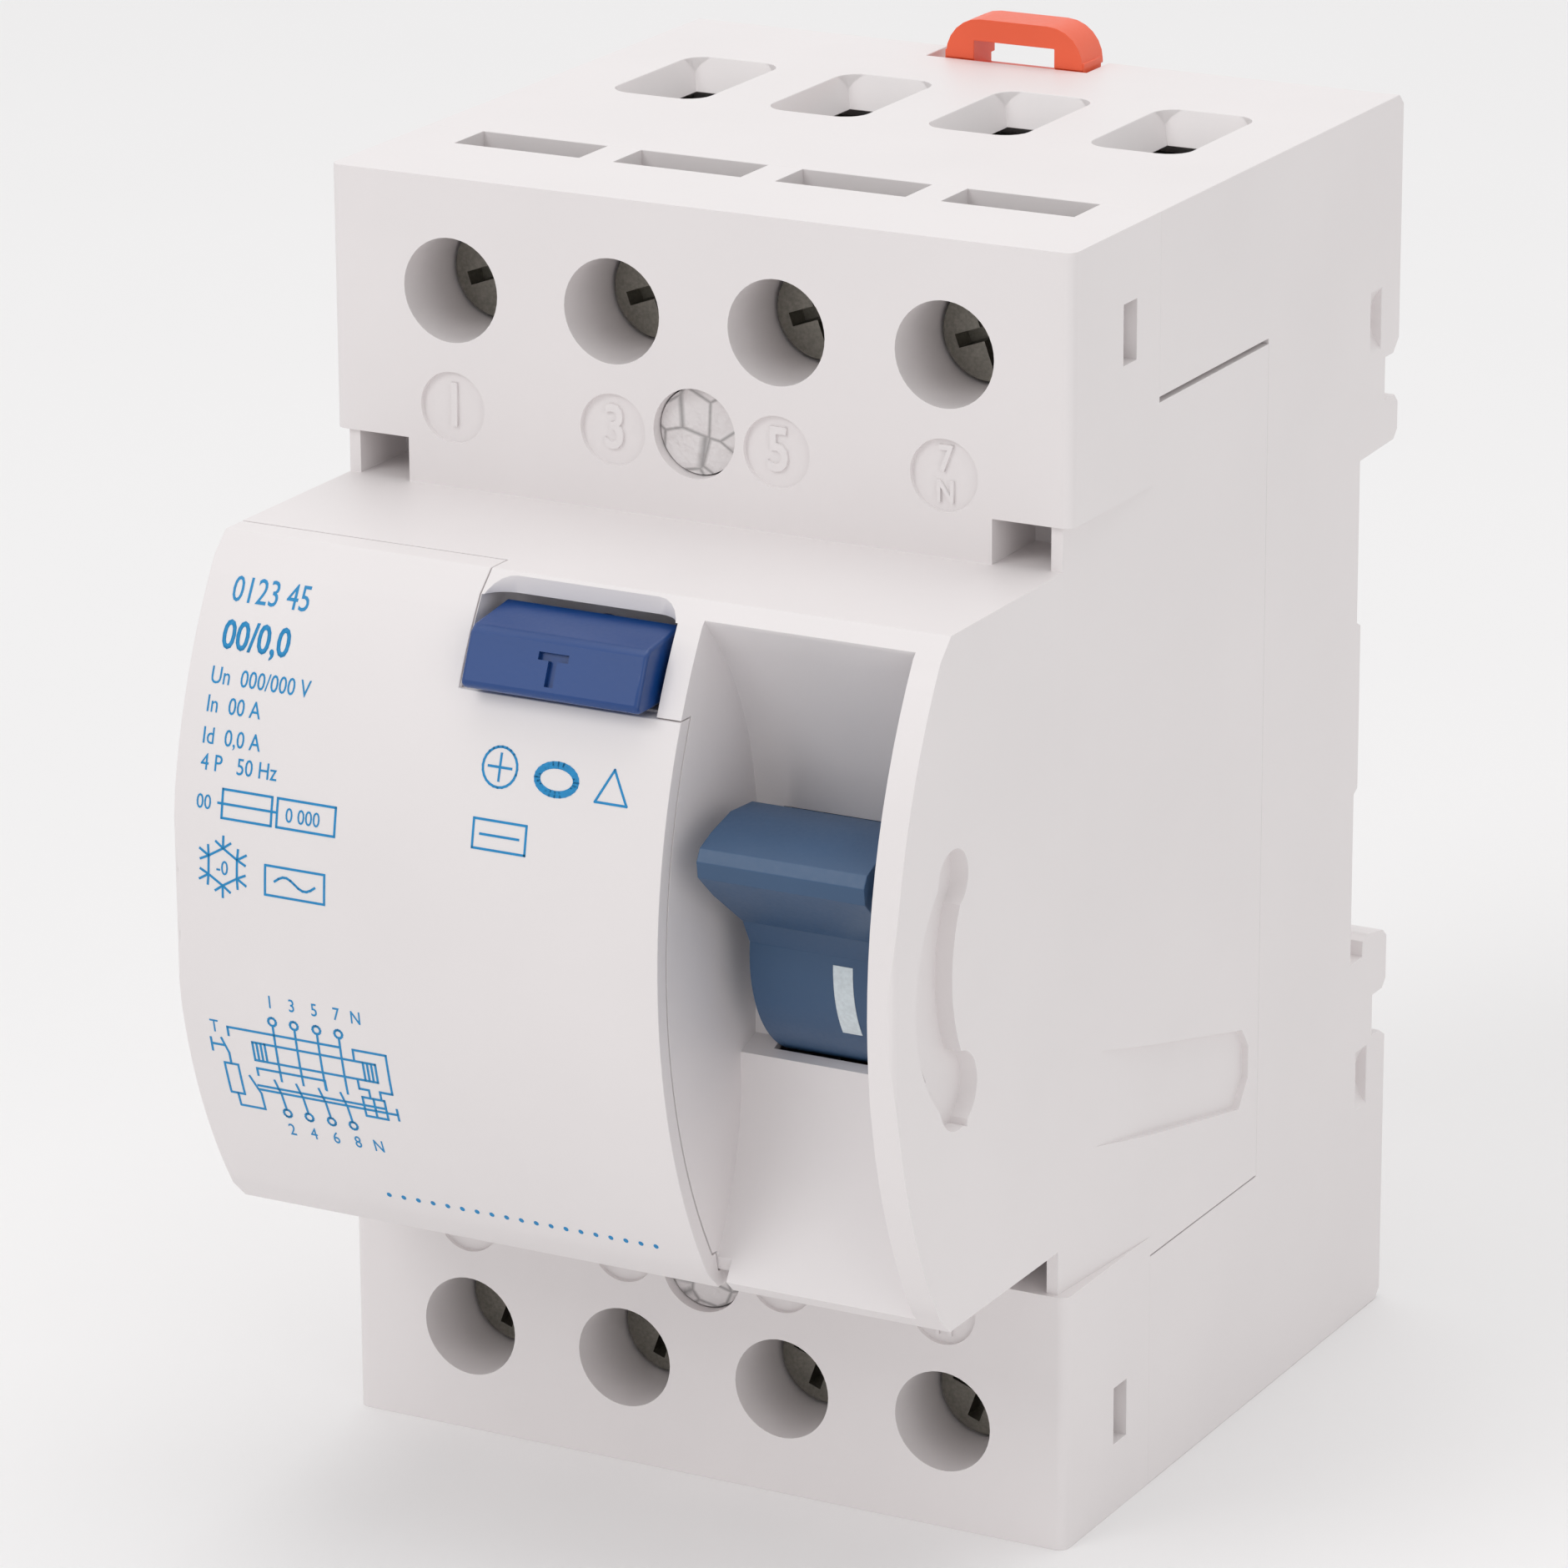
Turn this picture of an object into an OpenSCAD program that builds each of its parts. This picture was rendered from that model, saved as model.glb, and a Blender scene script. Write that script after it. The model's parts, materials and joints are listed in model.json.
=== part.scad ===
// Residual current device: a four-pole switch for a 35 mm rail, built as an assembly.
// Every sub-part is drawn from the shoulder face: x across, y to the back, z up from the
// bottom end face. The whole is then centred front to back, so it stands on the origin.

/* [Housing] */
// Width across the terminal blocks
body_w = 52.5; // [50:0.5:70]
// Height from end face to end face
body_h = 85; // [80:1:104]
// Depth from the shoulder face to the rail plane
rail_depth = 44; // [42:0.5:53]
// How far the feet reach behind the rail plane
foot_depth = 5.4; // [5:0.1:6.5]
// Height of the nose that shows through a panel cut-out
nose_h = 44.6; // [43:0.2:46]
// How far the nose stands in front of the shoulder
nose_depth = 22; // [20:0.5:26.5]
// How much narrower the nose is on each side
nose_inset = 0.8; // [0.2:0.1:1.2]
// Wall thickness of the mouldings
wall = 1.8; // [1.6:0.1:2.2]
// Depth at which the front cover meets the rear base
parting_y = 12.3; // [11.5:0.1:13.5]

/* [Terminals] */
// Distance between neighbouring poles
pole_pitch = 11.66; // [11.4:0.02:12]
// Distance from an end face to the terminal screws
screw_e = 7.3; // [7:0.1:7.8]
// Radius of the screwdriver holes
access_r = 3.4; // [3.2:0.1:3.8]
// Radius of the terminal screw thread
thread_r = 2.5; // [2:0.1:2.6]
// Width of the clamping cage
cage_w = 8.4; // [7.6:0.1:8.6]

/* [Toggle] */
// Radius of the toggle drum
drum_r = 8.4; // [7.6:0.1:8.5]
// Radius from the axle to the tip of the lever
lever_r = 17; // [14:0.2:17.4]
// Width of the toggle
toggle_w = 11.4; // [9:0.1:11.6]
// Angle that the toggle turns from on to off
toggle_turn = 53; // [45:1:56]
// Radius of the toggle axle
axle_r = 1.25; // [1:0.05:1.5]
// Width of the recess that the toggle stands in
bay_w = 14.3; // [14:0.1:15]

/* [Test button] */
// Width of the test button
button_w = 12.4; // [10:0.1:13]
// Height of the test button's front face
button_h = 3.8; // [3:0.1:4.2]
// Travel of the test button
button_travel = 1.6; // [1:0.1:2]

/* [Rail clip] */
// Height of the rail that the recess takes
rail_h = 35; // [35:0.1:35.2]
// Width of the sliding clip
clip_w = 10.4; // [8:0.1:11]
// How far the clip sits to the right of the middle
clip_x = -0.5; // [-2:0.1:2]

/* [Contacts] */
// How far the contact carrier moves to open the poles
contact_gap = 4; // [3.5:0.1:4.2]
// Thickness of the conductor strips
strip_t = 1.4; // [1:0.1:1.6]
// Radius of the contact rivets
rivet_r = 1.6; // [1.2:0.1:1.9]
// Outer radius of the summation transformer's core
core_r = 11; // [10:0.1:11.4]

/* [Hidden] */
$fn = 48;

// Colours
housing_colour = "#e8e4e4";
button_colour = "#27458b";
toggle_colour = "#44618a";
clip_colour = "#ee6a44";
steel_colour = "#b9bcc0";
copper_colour = "#c47f4e";
inner_colour = "#5c5f66";

// Clearances
slip = 0.1;        // between fixed pieces that are pressed or laid together
run_fit = 0.05;    // radial, between a shaft and its bore
free_gap = 0.3;    // between pieces that move past each other
past = 1;          // how far a cut runs past the face it opens

// Main planes and places
shoulder_y = (nose_depth - rail_depth - foot_depth) / 2;
half_w = body_w / 2;
nose_half = half_w - nose_inset;
mid_z = body_h / 2;
nose_z0 = mid_z - nose_h / 2;
nose_z1 = mid_z + nose_h / 2;
back_y = rail_depth + foot_depth;
block_e = 17.3;             // height of each terminal block at the front
notch_half = 20.8;          // where the corner notches beside the nose begin
side_skin = 0.8;            // thin side wall beside each notch
notch_y = 6;                // depth of those notches
edge_r = 0.7;               // rounding of the outer corners

// Nose outline, seen from the side
nose_bulge = 6;             // how far the front bows out between its corners
corner_y = -(nose_depth - nose_bulge);
corner_drop = 1.3;          // height of the sloped corner above and below the bow
corner_run = 1.4;
bow_half = nose_h / 2 - corner_drop;
bow_r = (bow_half * bow_half + nose_bulge * nose_bulge) / (2 * nose_bulge);
bow_y = -nose_depth + bow_r;

// Terminal chambers, measured inwards (e) from an end face
chamber_half = cage_w / 2 + 0.4;
chamber_e0 = 2.2;
chamber_e1 = 12.6;
tube_y1 = 9.8;              // end of the screwdriver tubes
tube_r = access_r + 1.2;
mark_y0 = 8.5;              // busbar slots in the end face
mark_w = 9.2;
inner_e = chamber_e1 + wall;
digit_e = 14.95;            // discs that carry the terminal numbers
digit_r = 2.33;
digit_deep = 0.35;
well_e = 14.5;              // wells of the two assembly screws
well_r = 2.9;
well_deep = 4;
fixing_r = 1.2;
fixing_y1 = parting_y + 8;
latch_e = 6.7;              // snap windows in the side walls
latch_y = 8;
latch_h = 3.9;
latch_d = 1.9;
tongue_t = 1.2;

// Terminal clamp
head_y = 6;
head_t = 2.8;
head_r = access_r - free_gap;
strip_y0 = 25.1;
strip_y1 = strip_y0 + strip_t;
strip_w = 4.8;
screw_tip_y = strip_y0 - slip;
cage_y0 = 19;
cage_y1 = 38.6;
chamber_back = cage_y1 + 1.4;
cage_wall = 1.3;
cage_front = 2.6;
cage_e0 = 3;
cage_e1 = 11.8;
window_y = 32.3;            // middle of the wire entry
window_len = 12;
window_w = 7;
window_throat = 1;          // how much narrower each side of the throat is
window_r = 1.7;
strip_e0 = 3.4;

// Side skirts of the front cover
skirt_back = 28.5;
skirt_top_e = 12.2;
skirt_low_e = 16;
skirt_t = wall;
top_slit = 0.35;
low_slit = 0.12;
back_slit = 0.04;

// Rail recess
rail_mid = mid_z + 1.2;
rail_play = 0.3;
recess_z0 = rail_mid - (rail_h + rail_play) / 2;
recess_z1 = rail_mid + (rail_h + rail_play) / 2;
lip_y = rail_depth + 1.4;   // behind the rail's 1 mm lip
lip_rise = 1.4;
hook_h = 3.3;
notch_h = 2.9;
notch_deep = 2.2;
pad_z0 = rail_mid - 5.2;
pad_z1 = rail_mid + 6.2;
pad_t = 0.6;

// Clip channel and clip
channel_x0 = clip_x - clip_w / 2 - 1.3;
channel_x1 = clip_x + clip_w / 2 + free_gap;
channel_y = rail_depth + 1.3;
clip_y0 = channel_y + free_gap;
clip_t = 2.6;
guide_w = 2;                // small lips that keep the clip in its channel
guide_z0 = body_h - 16;
guide_h = 8;
jaw_drop = 1.7;
arch_h = 2.8;
arch_w = clip_w - 0.2;
arch_y0 = channel_y + 0.2;
arch_t = 3.2;
arch_window_w = 6;
arch_window_h = 1.9;

// Label plate
plate_t = 1.2;

// Toggle bay
cheek_t = 1.85;
bay_x1 = nose_half - cheek_t;
bay_x0 = bay_x1 - bay_w;
bay_wall = 1.4;
axle_y = -6;
axle_z = mid_z - 0.1;
toggle_x0 = bay_x0 + 2.2;
toggle_x1 = toggle_x0 + toggle_w;
bay_edge_y = corner_y + 0.5;
bay_top = [bay_edge_y, nose_z1 - corner_drop];
bay_top_bend = [axle_y - 4, nose_z1 - 6.8];
bay_upper = [axle_y - 3.2, axle_z + 7.75];
bay_lower = [axle_y - 3.6, axle_z - 6.9];
bay_ledge = [axle_y - 5.5, axle_z - 7.6];
bay_low_bend = [axle_y - 5, nose_z0 + 7.8];
bay_bottom = [bay_edge_y, nose_z0 + 0.8];
bay_steps = 6;
spring_r = 1.6;
spring_wire = 0.25;
link_slot_w = 2.4;
link_x = toggle_x0 + toggle_w / 2;
crank_r = contact_gap / (2 * sin(toggle_turn / 2));
crank_y = axle_y + crank_r * sin(toggle_turn / 2);
crank_z = axle_z + crank_r * cos(toggle_turn / 2);
crank_pin_r = 0.9;

// Curved slot in the cheek for a coupled accessory
slot_outer = [axle_y - 3.4, axle_z - 0.1, 9.8];
slot_inner = [axle_y + 2, axle_z + 0.6, 10.4];
slot_end_y = axle_y - 6.3;
slot_low_end = [axle_y - 7.5, axle_z - 6.8, 2.5];
slot_top_end = [axle_y - 8.27, axle_z + 6.9, 2];
slot_deep = 1.2;

// Test button
button_x1 = bay_x0 - bay_wall - 0.7;
button_x0 = button_x1 - button_w;
button_front_y = -20.4;
button_lean = 1.3;          // how far the top of its front face leans back
pocket_y = -12.8;
button_back_y = pocket_y - button_travel - free_gap;
button_z0 = nose_z1 - 6.1;
pocket_gap = 0.4;
pocket_lip_y = -14.8;
pocket_lip_t = 1.3;
pocket_x0 = button_x0 - 0.9;
pocket_x1 = button_x1 + pocket_gap;
pocket_z0 = button_z0 - pocket_gap;
pocket_r = 1.9;
stem_r = 1.6;
stem_x = (button_x0 + button_x1) / 2;
stem_z = button_z0 + 2;
stem_end_y = -4;
blade_arm = 12;
blade_t = 0.5;
blade_y = stem_end_y + free_gap;
blade_play = 0.2;
contact_y = blade_y + blade_t + button_travel + 0.4;
resistor_r = 1.5;
resistor_len = 8;
resistor_drop = 13;         // from the stem's height down to the resistor's lower end

// Inside of the middle
cavity_z0 = inner_e;
cavity_z1 = body_h - inner_e;
cavity_y1 = rail_depth - 3;
cavity_half = half_w - skirt_t - nose_inset - slip;

// Contacts
upper_rivet_z = mid_z + 20;
lower_rivet_z = mid_z + 11;
rivet_t = 0.8;
rivet_air = 0.05;
bridge_t = 1.2;
bridge_w = 4;
bridge_y1 = strip_y0 - 2 * rivet_t - rivet_air;
bridge_y0 = bridge_y1 - bridge_t;
bridge_mid_z = (upper_rivet_z + lower_rivet_z) / 2;
carrier_y0 = 13;
carrier_y1 = 16;
carrier_half = cavity_half - free_gap;
carrier_h = 7;
prong_t = 1.1;
eye_y = carrier_y0 - 3;
eye_z = bridge_mid_z - 1;
eye_r = 1.9;
link_play = 0.55;           // lets the link's free end follow the carrier's straight path

// Summation transformer
winding_t = 0.8;
core_h = 8;
core_hole = core_r - 4;
core_y = cavity_y1 - core_r - winding_t - 0.4;
shelf_z = cavity_z0 + 6;
shelf_t = 1.2;
core_z = shelf_z + shelf_t + winding_t;
riser_w = 2.4;
riser_x = 1.4;
riser_t = 2;
row_off = 1.9;
low_run_z = cavity_z0 + 1.2;
high_run_z = core_z + core_h + winding_t + 1.2;

// Trip relay and its lever
relay_x0 = -(cavity_half - 2.4);
relay_w = 13;
relay_y0 = 3;
relay_d = 11;
relay_h = 13.5;
relay_z0 = high_run_z + strip_t + 1.2;
plunger_r = 1;
plunger_y = relay_y0 + relay_d / 2;
plunger_gap = 0.4;
lever_t = 2;
lever_z = relay_z0 + relay_h + 1.8 + free_gap;
lever_pin_y = 0.6 + wall;
lever_pin_r = 0.8;

function pole_x(i) = (i - 1.5) * pole_pitch;

// ---------- helpers ----------

module from_shoulder() {
    translate([0, shoulder_y, 0]) children();
}

module box(low, high) {
    translate(low) cube(high - low);
}

// A (y, z) outline drawn out along x
module slab_x(points, x0, x1) {
    translate([x0, 0, 0]) rotate([90, 0, 90]) linear_extrude(x1 - x0) polygon(points);
}

module rod_x(y, z, x0, x1, r) {
    translate([x0, y, z]) rotate([0, 90, 0]) cylinder(h = x1 - x0, r = r);
}

module rod_y(x, z, y0, y1, r) {
    translate([x, y0, z]) rotate([-90, 0, 0]) cylinder(h = y1 - y0, r = r);
}

// Draws its children, made with z as the distance from an end face, at the top or bottom end
module at_end(top) {
    if (top) translate([0, 0, body_h]) mirror([0, 0, 1]) children();
    else children();
}

module at_both_ends() {
    at_end(true) children();
    at_end(false) children();
}

function arc_points(centre, r, from, to, steps) = [for (i = [0 : steps])
    let (a = from + (to - from) * i / steps) centre + r * [cos(a), sin(a)]];

function rounded_outline(low, high, r, steps = 5) = concat(
    arc_points([low[0] + r, low[1] + r], r, 180, 270, steps),
    arc_points([high[0] - r, low[1] + r], r, 270, 360, steps),
    arc_points([high[0] - r, high[1] - r], r, 0, 90, steps),
    arc_points([low[0] + r, high[1] - r], r, 90, 180, steps));

// Points along a smooth bend from a to c that is drawn towards b
function bend_points(a, b, c, steps) = [for (i = [0 : steps])
    let (t = i / steps) (1 - t) * (1 - t) * a + 2 * t * (1 - t) * b + t * t * c];

// A round wire wound about the z axis, as one closed tube
function coil_ring(centre, along, out, r, sides) = [for (k = [0 : sides - 1])
    let (a = 360 * k / sides) centre + r * (cos(a) * out + sin(a) * cross(along, out))];

function coil_point(r, pitch, a) = [r * cos(a), r * sin(a), pitch * a / 360];

module coil(r, wire_r, length, turns, sides = 8, steps = 16) {
    count = round(turns * steps);
    pitch = (length - 2 * wire_r) / turns;
    rings = [for (i = [0 : count])
        let (a = 360 * turns * i / count,
             along = [-r * sin(a), r * cos(a), pitch / (2 * PI)],
             unit = along / norm(along))
        coil_ring(coil_point(r, pitch, a) + [0, 0, wire_r], unit, [cos(a), sin(a), 0],
            wire_r, sides)];
    points = [for (ring = rings) for (p = ring) p];
    last = count * sides;
    faces = concat(
        [[for (k = [0 : sides - 1]) k]],
        [[for (k = [sides - 1 : -1 : 0]) last + k]],
        [for (i = [0 : count - 1]) for (k = [0 : sides - 1])
            let (n = (k + 1) % sides)
            each [[i * sides + k, (i + 1) * sides + k, (i + 1) * sides + n],
                [i * sides + k, (i + 1) * sides + n, i * sides + n]]]);
    polyhedron(points, faces);
}

// ---------- housing ----------

// The nose's outer form, shrunk by "inside" on every face but the back
module nose_form(inside, y_back) {
    intersection() {
        slab_x([
            [y_back, nose_z0 + inside],
            [corner_y + corner_run, nose_z0 + inside],
            [corner_y + inside, nose_z0 + corner_drop + inside],
            [-nose_depth - past, nose_z0 + corner_drop + inside],
            [-nose_depth - past, nose_z1 - corner_drop - inside],
            [corner_y + inside, nose_z1 - corner_drop - inside],
            [corner_y + corner_run, nose_z1 - inside],
            [y_back, nose_z1 - inside]],
            -nose_half + inside, nose_half - inside);
        translate([-half_w, bow_y, mid_z]) rotate([0, 90, 0])
            cylinder(h = body_w, r = bow_r - inside, $fn = 200);
        linear_extrude(body_h) polygon(concat(
            [[nose_half - inside, y_back], [-nose_half + inside, y_back]],
            arc_points([-nose_half + inside + edge_r, -nose_depth + inside + edge_r],
                edge_r, 180, 270, 4),
            arc_points([nose_half - inside - edge_r, -nose_depth + inside + edge_r],
                edge_r, 270, 360, 4)));
    }
}

// The bay's sloped back wall as (y, z) points, moved back by "behind"
function bay_line(behind) = concat(
    bend_points(bay_top + [behind, 0], bay_top_bend + [behind, 0], bay_upper + [behind, 0],
        bay_steps),
    [bay_lower + [behind, 0]],
    bend_points(bay_ledge + [behind, 0], bay_low_bend + [behind, 0],
        bay_bottom + [behind, 0], bay_steps));

module bay_cut() {
    slab_x(concat([[-nose_depth - past, nose_z1 + past]],
        [[bay_top[0] - 1.2, nose_z1 + past]], bay_line(0),
        [[bay_bottom[0] - 1.2, nose_z0 - past], [-nose_depth - past, nose_z0 - past]]),
        bay_x0, bay_x1);
}

// Hollow behind the bay, where the drum and the link turn
module bay_void() {
    void_y1 = wall + past;
    intersection() {
        slab_x(concat([[void_y1, nose_z1 + past]], bay_line(bay_wall),
            [[void_y1, nose_z0 - past]]), bay_x0, bay_x1);
        box([bay_x0, -nose_depth, nose_z0 + wall], [bay_x1, void_y1, nose_z1 - wall]);
    }
}

module drum_window() {
    x0 = toggle_x0 - free_gap;
    x1 = bay_x1;
    box([x0, bay_lower[0] - 1, bay_lower[1]], [x1, bay_upper[0] + bay_wall + 1, bay_upper[1]]);
    rod_x(axle_y, axle_z, x0, x1, drum_r + free_gap);
    rod_x(axle_y, axle_z, bay_x0, x1, spring_r + spring_wire + free_gap);
}

// Groove in the cheek, open to the bay only at its lower front
module cheek_slot() {
    slot_form(nose_half - slot_deep, nose_half + past);
    intersection() {
        slot_form(bay_x1 - past, nose_half);
        slab_x([[-nose_depth, axle_z + 1], [slot_outer[0] - slot_outer[2] + 0.6, axle_z - 0.8],
            [slot_low_end[0] - 2, slot_low_end[1] + 1], [slot_low_end[0] - 2.6, slot_low_end[1] - 1],
            [-nose_depth, slot_low_end[1] - 2]], bay_x1 - past, nose_half);
    }
}

module slot_form(x0, x1) {
    difference() {
        rod_x(slot_outer[0], slot_outer[1], x0, x1, slot_outer[2]);
        rod_x(slot_inner[0], slot_inner[1], x0 - past, x1 + past, slot_inner[2]);
        box([x0 - past, slot_end_y, 0], [x1 + past, past, body_h]);
        box([x0 - past, -nose_depth - past, slot_top_end[1]], [x1 + past, past, body_h]);
    }
    for (end = [slot_low_end, slot_top_end])
        rod_x(end[0], end[1], x0, x1, end[2]);
}

module pocket_walls() {
    box([pocket_x0 - bay_wall, -nose_depth, pocket_z0 - bay_wall],
        [bay_x0, pocket_y + bay_wall, nose_z1]);
}

// Room for the button: open above as far back as a lip, under which the button slides in
module pocket_cut() {
    pocket_form(pocket_z0, nose_z1 - pocket_lip_t, pocket_y, 1);
    pocket_form(pocket_z0, nose_z1 + past, pocket_lip_y, pocket_r);
    rod_y(stem_x, stem_z, pocket_y - 1, pocket_y + bay_wall + 1, stem_r + run_fit);
}

module pocket_form(z0, z1, y, r) {
    translate([0, 0, z0]) linear_extrude(z1 - z0) polygon(concat(
        [[pocket_x1, -nose_depth - past]],
        arc_points([pocket_x1 - r, y - r], r, 0, 90, 6),
        arc_points([pocket_x0 + r, y - r], r, 90, 180, 6),
        [[pocket_x0, -nose_depth - past]]));
}

// The part of the nose front that the label plate covers, as a block in x and z
module plate_region(gap, right) {
    box([-half_w, -nose_depth - past, nose_z0 - past], [right, -10, pocket_z0 - gap]);
    box([-half_w, -nose_depth - past, nose_z0 - past],
        [pocket_x0 - 0.05 - gap, -10, nose_z1 + past]);
}

module plate_shell(gap, right) {
    intersection() {
        difference() {
            nose_form(0, 0);
            nose_form(plate_t - gap, past);
        }
        plate_region(gap, right);
        box([-half_w, -nose_depth - past, nose_z0 - past],
            [half_w, corner_y + corner_run + 2 - gap, nose_z1 + past]);
    }
}

// One end of the cover: the block in front of the terminals
module cover_block() {
    difference() {
        translate([0, 0, 0]) linear_extrude(block_e) polygon(concat(
            [[half_w, parting_y], [-half_w, parting_y]],
            arc_points([-half_w + edge_r, edge_r], edge_r, 180, 270, 4),
            arc_points([half_w - edge_r, edge_r], edge_r, 270, 360, 4)));
        box([-half_w + wall, wall, wall], [half_w - wall, parting_y + past, chamber_e1]);
        box([-cavity_half, wall, inner_e], [cavity_half, parting_y + past, block_e + past]);
    }
    for (i = [0 : 2])
        box([pole_x(i) + pole_pitch / 2 - 0.8, wall / 2, wall / 2],
            [pole_x(i) + pole_pitch / 2 + 0.8, parting_y, chamber_e1 + wall / 2]);
    for (i = [0 : 3])
        rod_y(pole_x(i), screw_e, wall / 2, tube_y1, tube_r);
}

module cover_block_cuts() {
    for (i = [0 : 3]) {
        rod_y(pole_x(i), screw_e, -past, tube_y1 + past, access_r);
        rod_y(pole_x(i), digit_e, -past, digit_deep, digit_r);
        box([pole_x(i) - mark_w / 2, mark_y0, -past],
            [pole_x(i) + mark_w / 2, parting_y + past, wall + past / 2]);
        box([pole_x(i) - chamber_half, tube_y1, chamber_e0],
            [pole_x(i) + chamber_half, parting_y + past, chamber_e1]);
    }
}

// Middle of the cover, behind the nose: the web between the notches and the side skirts
module cover_middle() {
    z0 = skirt_low_e;
    z1 = body_h - skirt_top_e;
    difference() {
        union() {
            translate([0, 0, z0]) linear_extrude(z1 - z0) polygon([
                [-nose_half, 0.4], [nose_half, 0.4], [half_w, parting_y],
                [half_w, skirt_back], [-half_w, skirt_back], [-half_w, parting_y]]);
            box([-notch_half, 0, block_e - past], [notch_half, wall, body_h - block_e + past]);
        }
        box([-cavity_half, wall, cavity_z0], [cavity_half, skirt_back + past, cavity_z1]);
        // Everything between the side skirts and behind the parting belongs to the base
        box([-half_w + skirt_t + nose_inset, parting_y, 0],
            [half_w - skirt_t - nose_inset, skirt_back + past, body_h]);
    }
}

module screw_well() {
    rod_y(0, well_e, -past, well_deep, well_r);
    rod_y(0, well_e, -past, parting_y + past, fixing_r + 0.4);
}

// Windows in the side walls where the base's tongues snap in
module latch_windows() {
    for (side = [-1, 1]) at_both_ends()
        translate([side * (half_w - wall / 2), latch_y, latch_e])
            box([-wall, -latch_d / 2, -latch_h / 2], [wall, latch_d / 2, latch_h / 2]);
}

module front_cover() {
    color(housing_colour) from_shoulder() difference() {
        union() {
            difference() {
                union() {
                    at_both_ends() cover_block();
                    cover_middle();
                    nose_form(0, 0.5);
                }
                nose_void();
            }
            intersection() {
                pocket_walls();
                nose_form(0, 1);
            }
            at_both_ends() rod_y(0, well_e, wall / 2, parting_y, well_r + 1);
            blade_post();
            notch_lining();
        }
        at_both_ends() cover_block_cuts();
        corner_notches();
        bay_cut();
        drum_window();
        cheek_slot();
        pocket_cut();
        plate_shell(0, bay_x0 + past);
        at_both_ends() screw_well();
        side_recess();
        latch_windows();
        blade_slot();
        rod_x(axle_y, axle_z, bay_x0 - bay_wall - past, bay_x1 + 1.1, axle_r + slip / 5);
        rod_x(lever_pin_y, lever_z, -cavity_half - 1, cavity_half, lever_pin_r + slip / 5);
    }
}

module nose_void() {
    difference() {
        nose_form(wall, wall + past);
        box([bay_x0 - bay_wall, -nose_depth - past, 0], [half_w, wall, body_h]);
    }
    bay_void();
}

// The post inside the cover that carries the test blade
module blade_post() {
    x = stem_x - blade_arm;
    box([x - 1, blade_y - 2, stem_z - 3], [x + 1, blade_y + blade_t + 2, nose_z1 - wall / 2]);
}

module blade_slot() {
    x = stem_x - blade_arm;
    box([x - 0.4, blade_y - blade_play, stem_z - 4],
        [x + 2, blade_y + blade_t + blade_play, stem_z + 1.8]);
}

module notch_lining() {
    difference() {
        for (side = [-1, 1]) at_both_ends()
            translate([side * (notch_half + cavity_half) / 2, 0, 0])
                box([(notch_half - cavity_half) / 2 - wall, wall / 2, block_e - 1.2],
                    [(cavity_half - notch_half) / 2 + slip, notch_y + 1.2, nose_z0 + 1.2]);
        bay_void();
    }
}

module corner_notches() {
    x0 = notch_half;
    x1 = nose_half - side_skin;
    for (side = [-1, 1]) at_both_ends()
        translate([side * (x0 + x1) / 2, 0, 0])
            box([(x0 - x1) / 2, -past, block_e], [(x1 - x0) / 2, notch_y, nose_z0]);
}

// Side outline of the rear base, from the parting back to the feet
module base_outline() {
    foot_low = recess_z0 - hook_h - notch_h;
    foot_high = recess_z1 + hook_h + notch_h;
    slab_x([
        [parting_y, 0], [back_y - edge_r, 0], [back_y, edge_r],
        [back_y, foot_low - 0.6], [back_y - 1, foot_low],
        [back_y - notch_deep, foot_low], [back_y - notch_deep, foot_low + notch_h],
        [back_y - 0.6, foot_low + notch_h], [back_y, foot_low + notch_h + 0.6],
        [back_y, recess_z0 + 0.4], [back_y - 0.6, recess_z0 + 0.9],
        [lip_y + 0.8, recess_z0 + lip_rise], [lip_y, recess_z0 + lip_rise - 0.3],
        [lip_y, recess_z0], [rail_depth - pad_t, recess_z0],
        [rail_depth - pad_t, pad_z0 - 0.3], [rail_depth, pad_z0],
        [rail_depth, pad_z1], [rail_depth - pad_t, pad_z1 + 0.3],
        [rail_depth - pad_t, recess_z1], [back_y - 0.6, recess_z1 + 0.2],
        [back_y, recess_z1 + 0.8], [back_y, recess_z1 + hook_h - 0.6],
        [back_y - 0.6, recess_z1 + hook_h], [back_y - notch_deep, recess_z1 + hook_h],
        [back_y - notch_deep, foot_high], [back_y - 0.9, foot_high],
        [back_y, foot_high + 0.9], [back_y, body_h - edge_r],
        [back_y - edge_r, body_h], [parting_y, body_h]],
        -half_w, half_w);
}

// A wire entry: a rounded window whose four sides slope in to its throat
module wire_window(x) {
    deep = chamber_e0 + slip;
    half_x = window_w / 2;
    half_y = window_len / 2;
    throat_x = half_x - window_throat;
    throat_y = half_y - window_throat * 1.4;
    translate([x, window_y, 0]) intersection() {
        translate([0, 0, -past]) linear_extrude(deep + past)
            polygon(rounded_outline([-half_x, -half_y], [half_x, half_y], window_r));
        slab_x([[-half_y, -past], [half_y, -past], [half_y, 0], [throat_y, deep],
            [-throat_y, deep], [-half_y, 0]], -half_x - past, half_x + past);
        translate([0, half_y + past, 0]) rotate([90, 0, 0]) linear_extrude(2 * (half_y + past))
            polygon([[-half_x, -past], [half_x, -past], [half_x, 0], [throat_x, deep],
                [-throat_x, deep], [-half_x, 0]]);
    }
}

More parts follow.
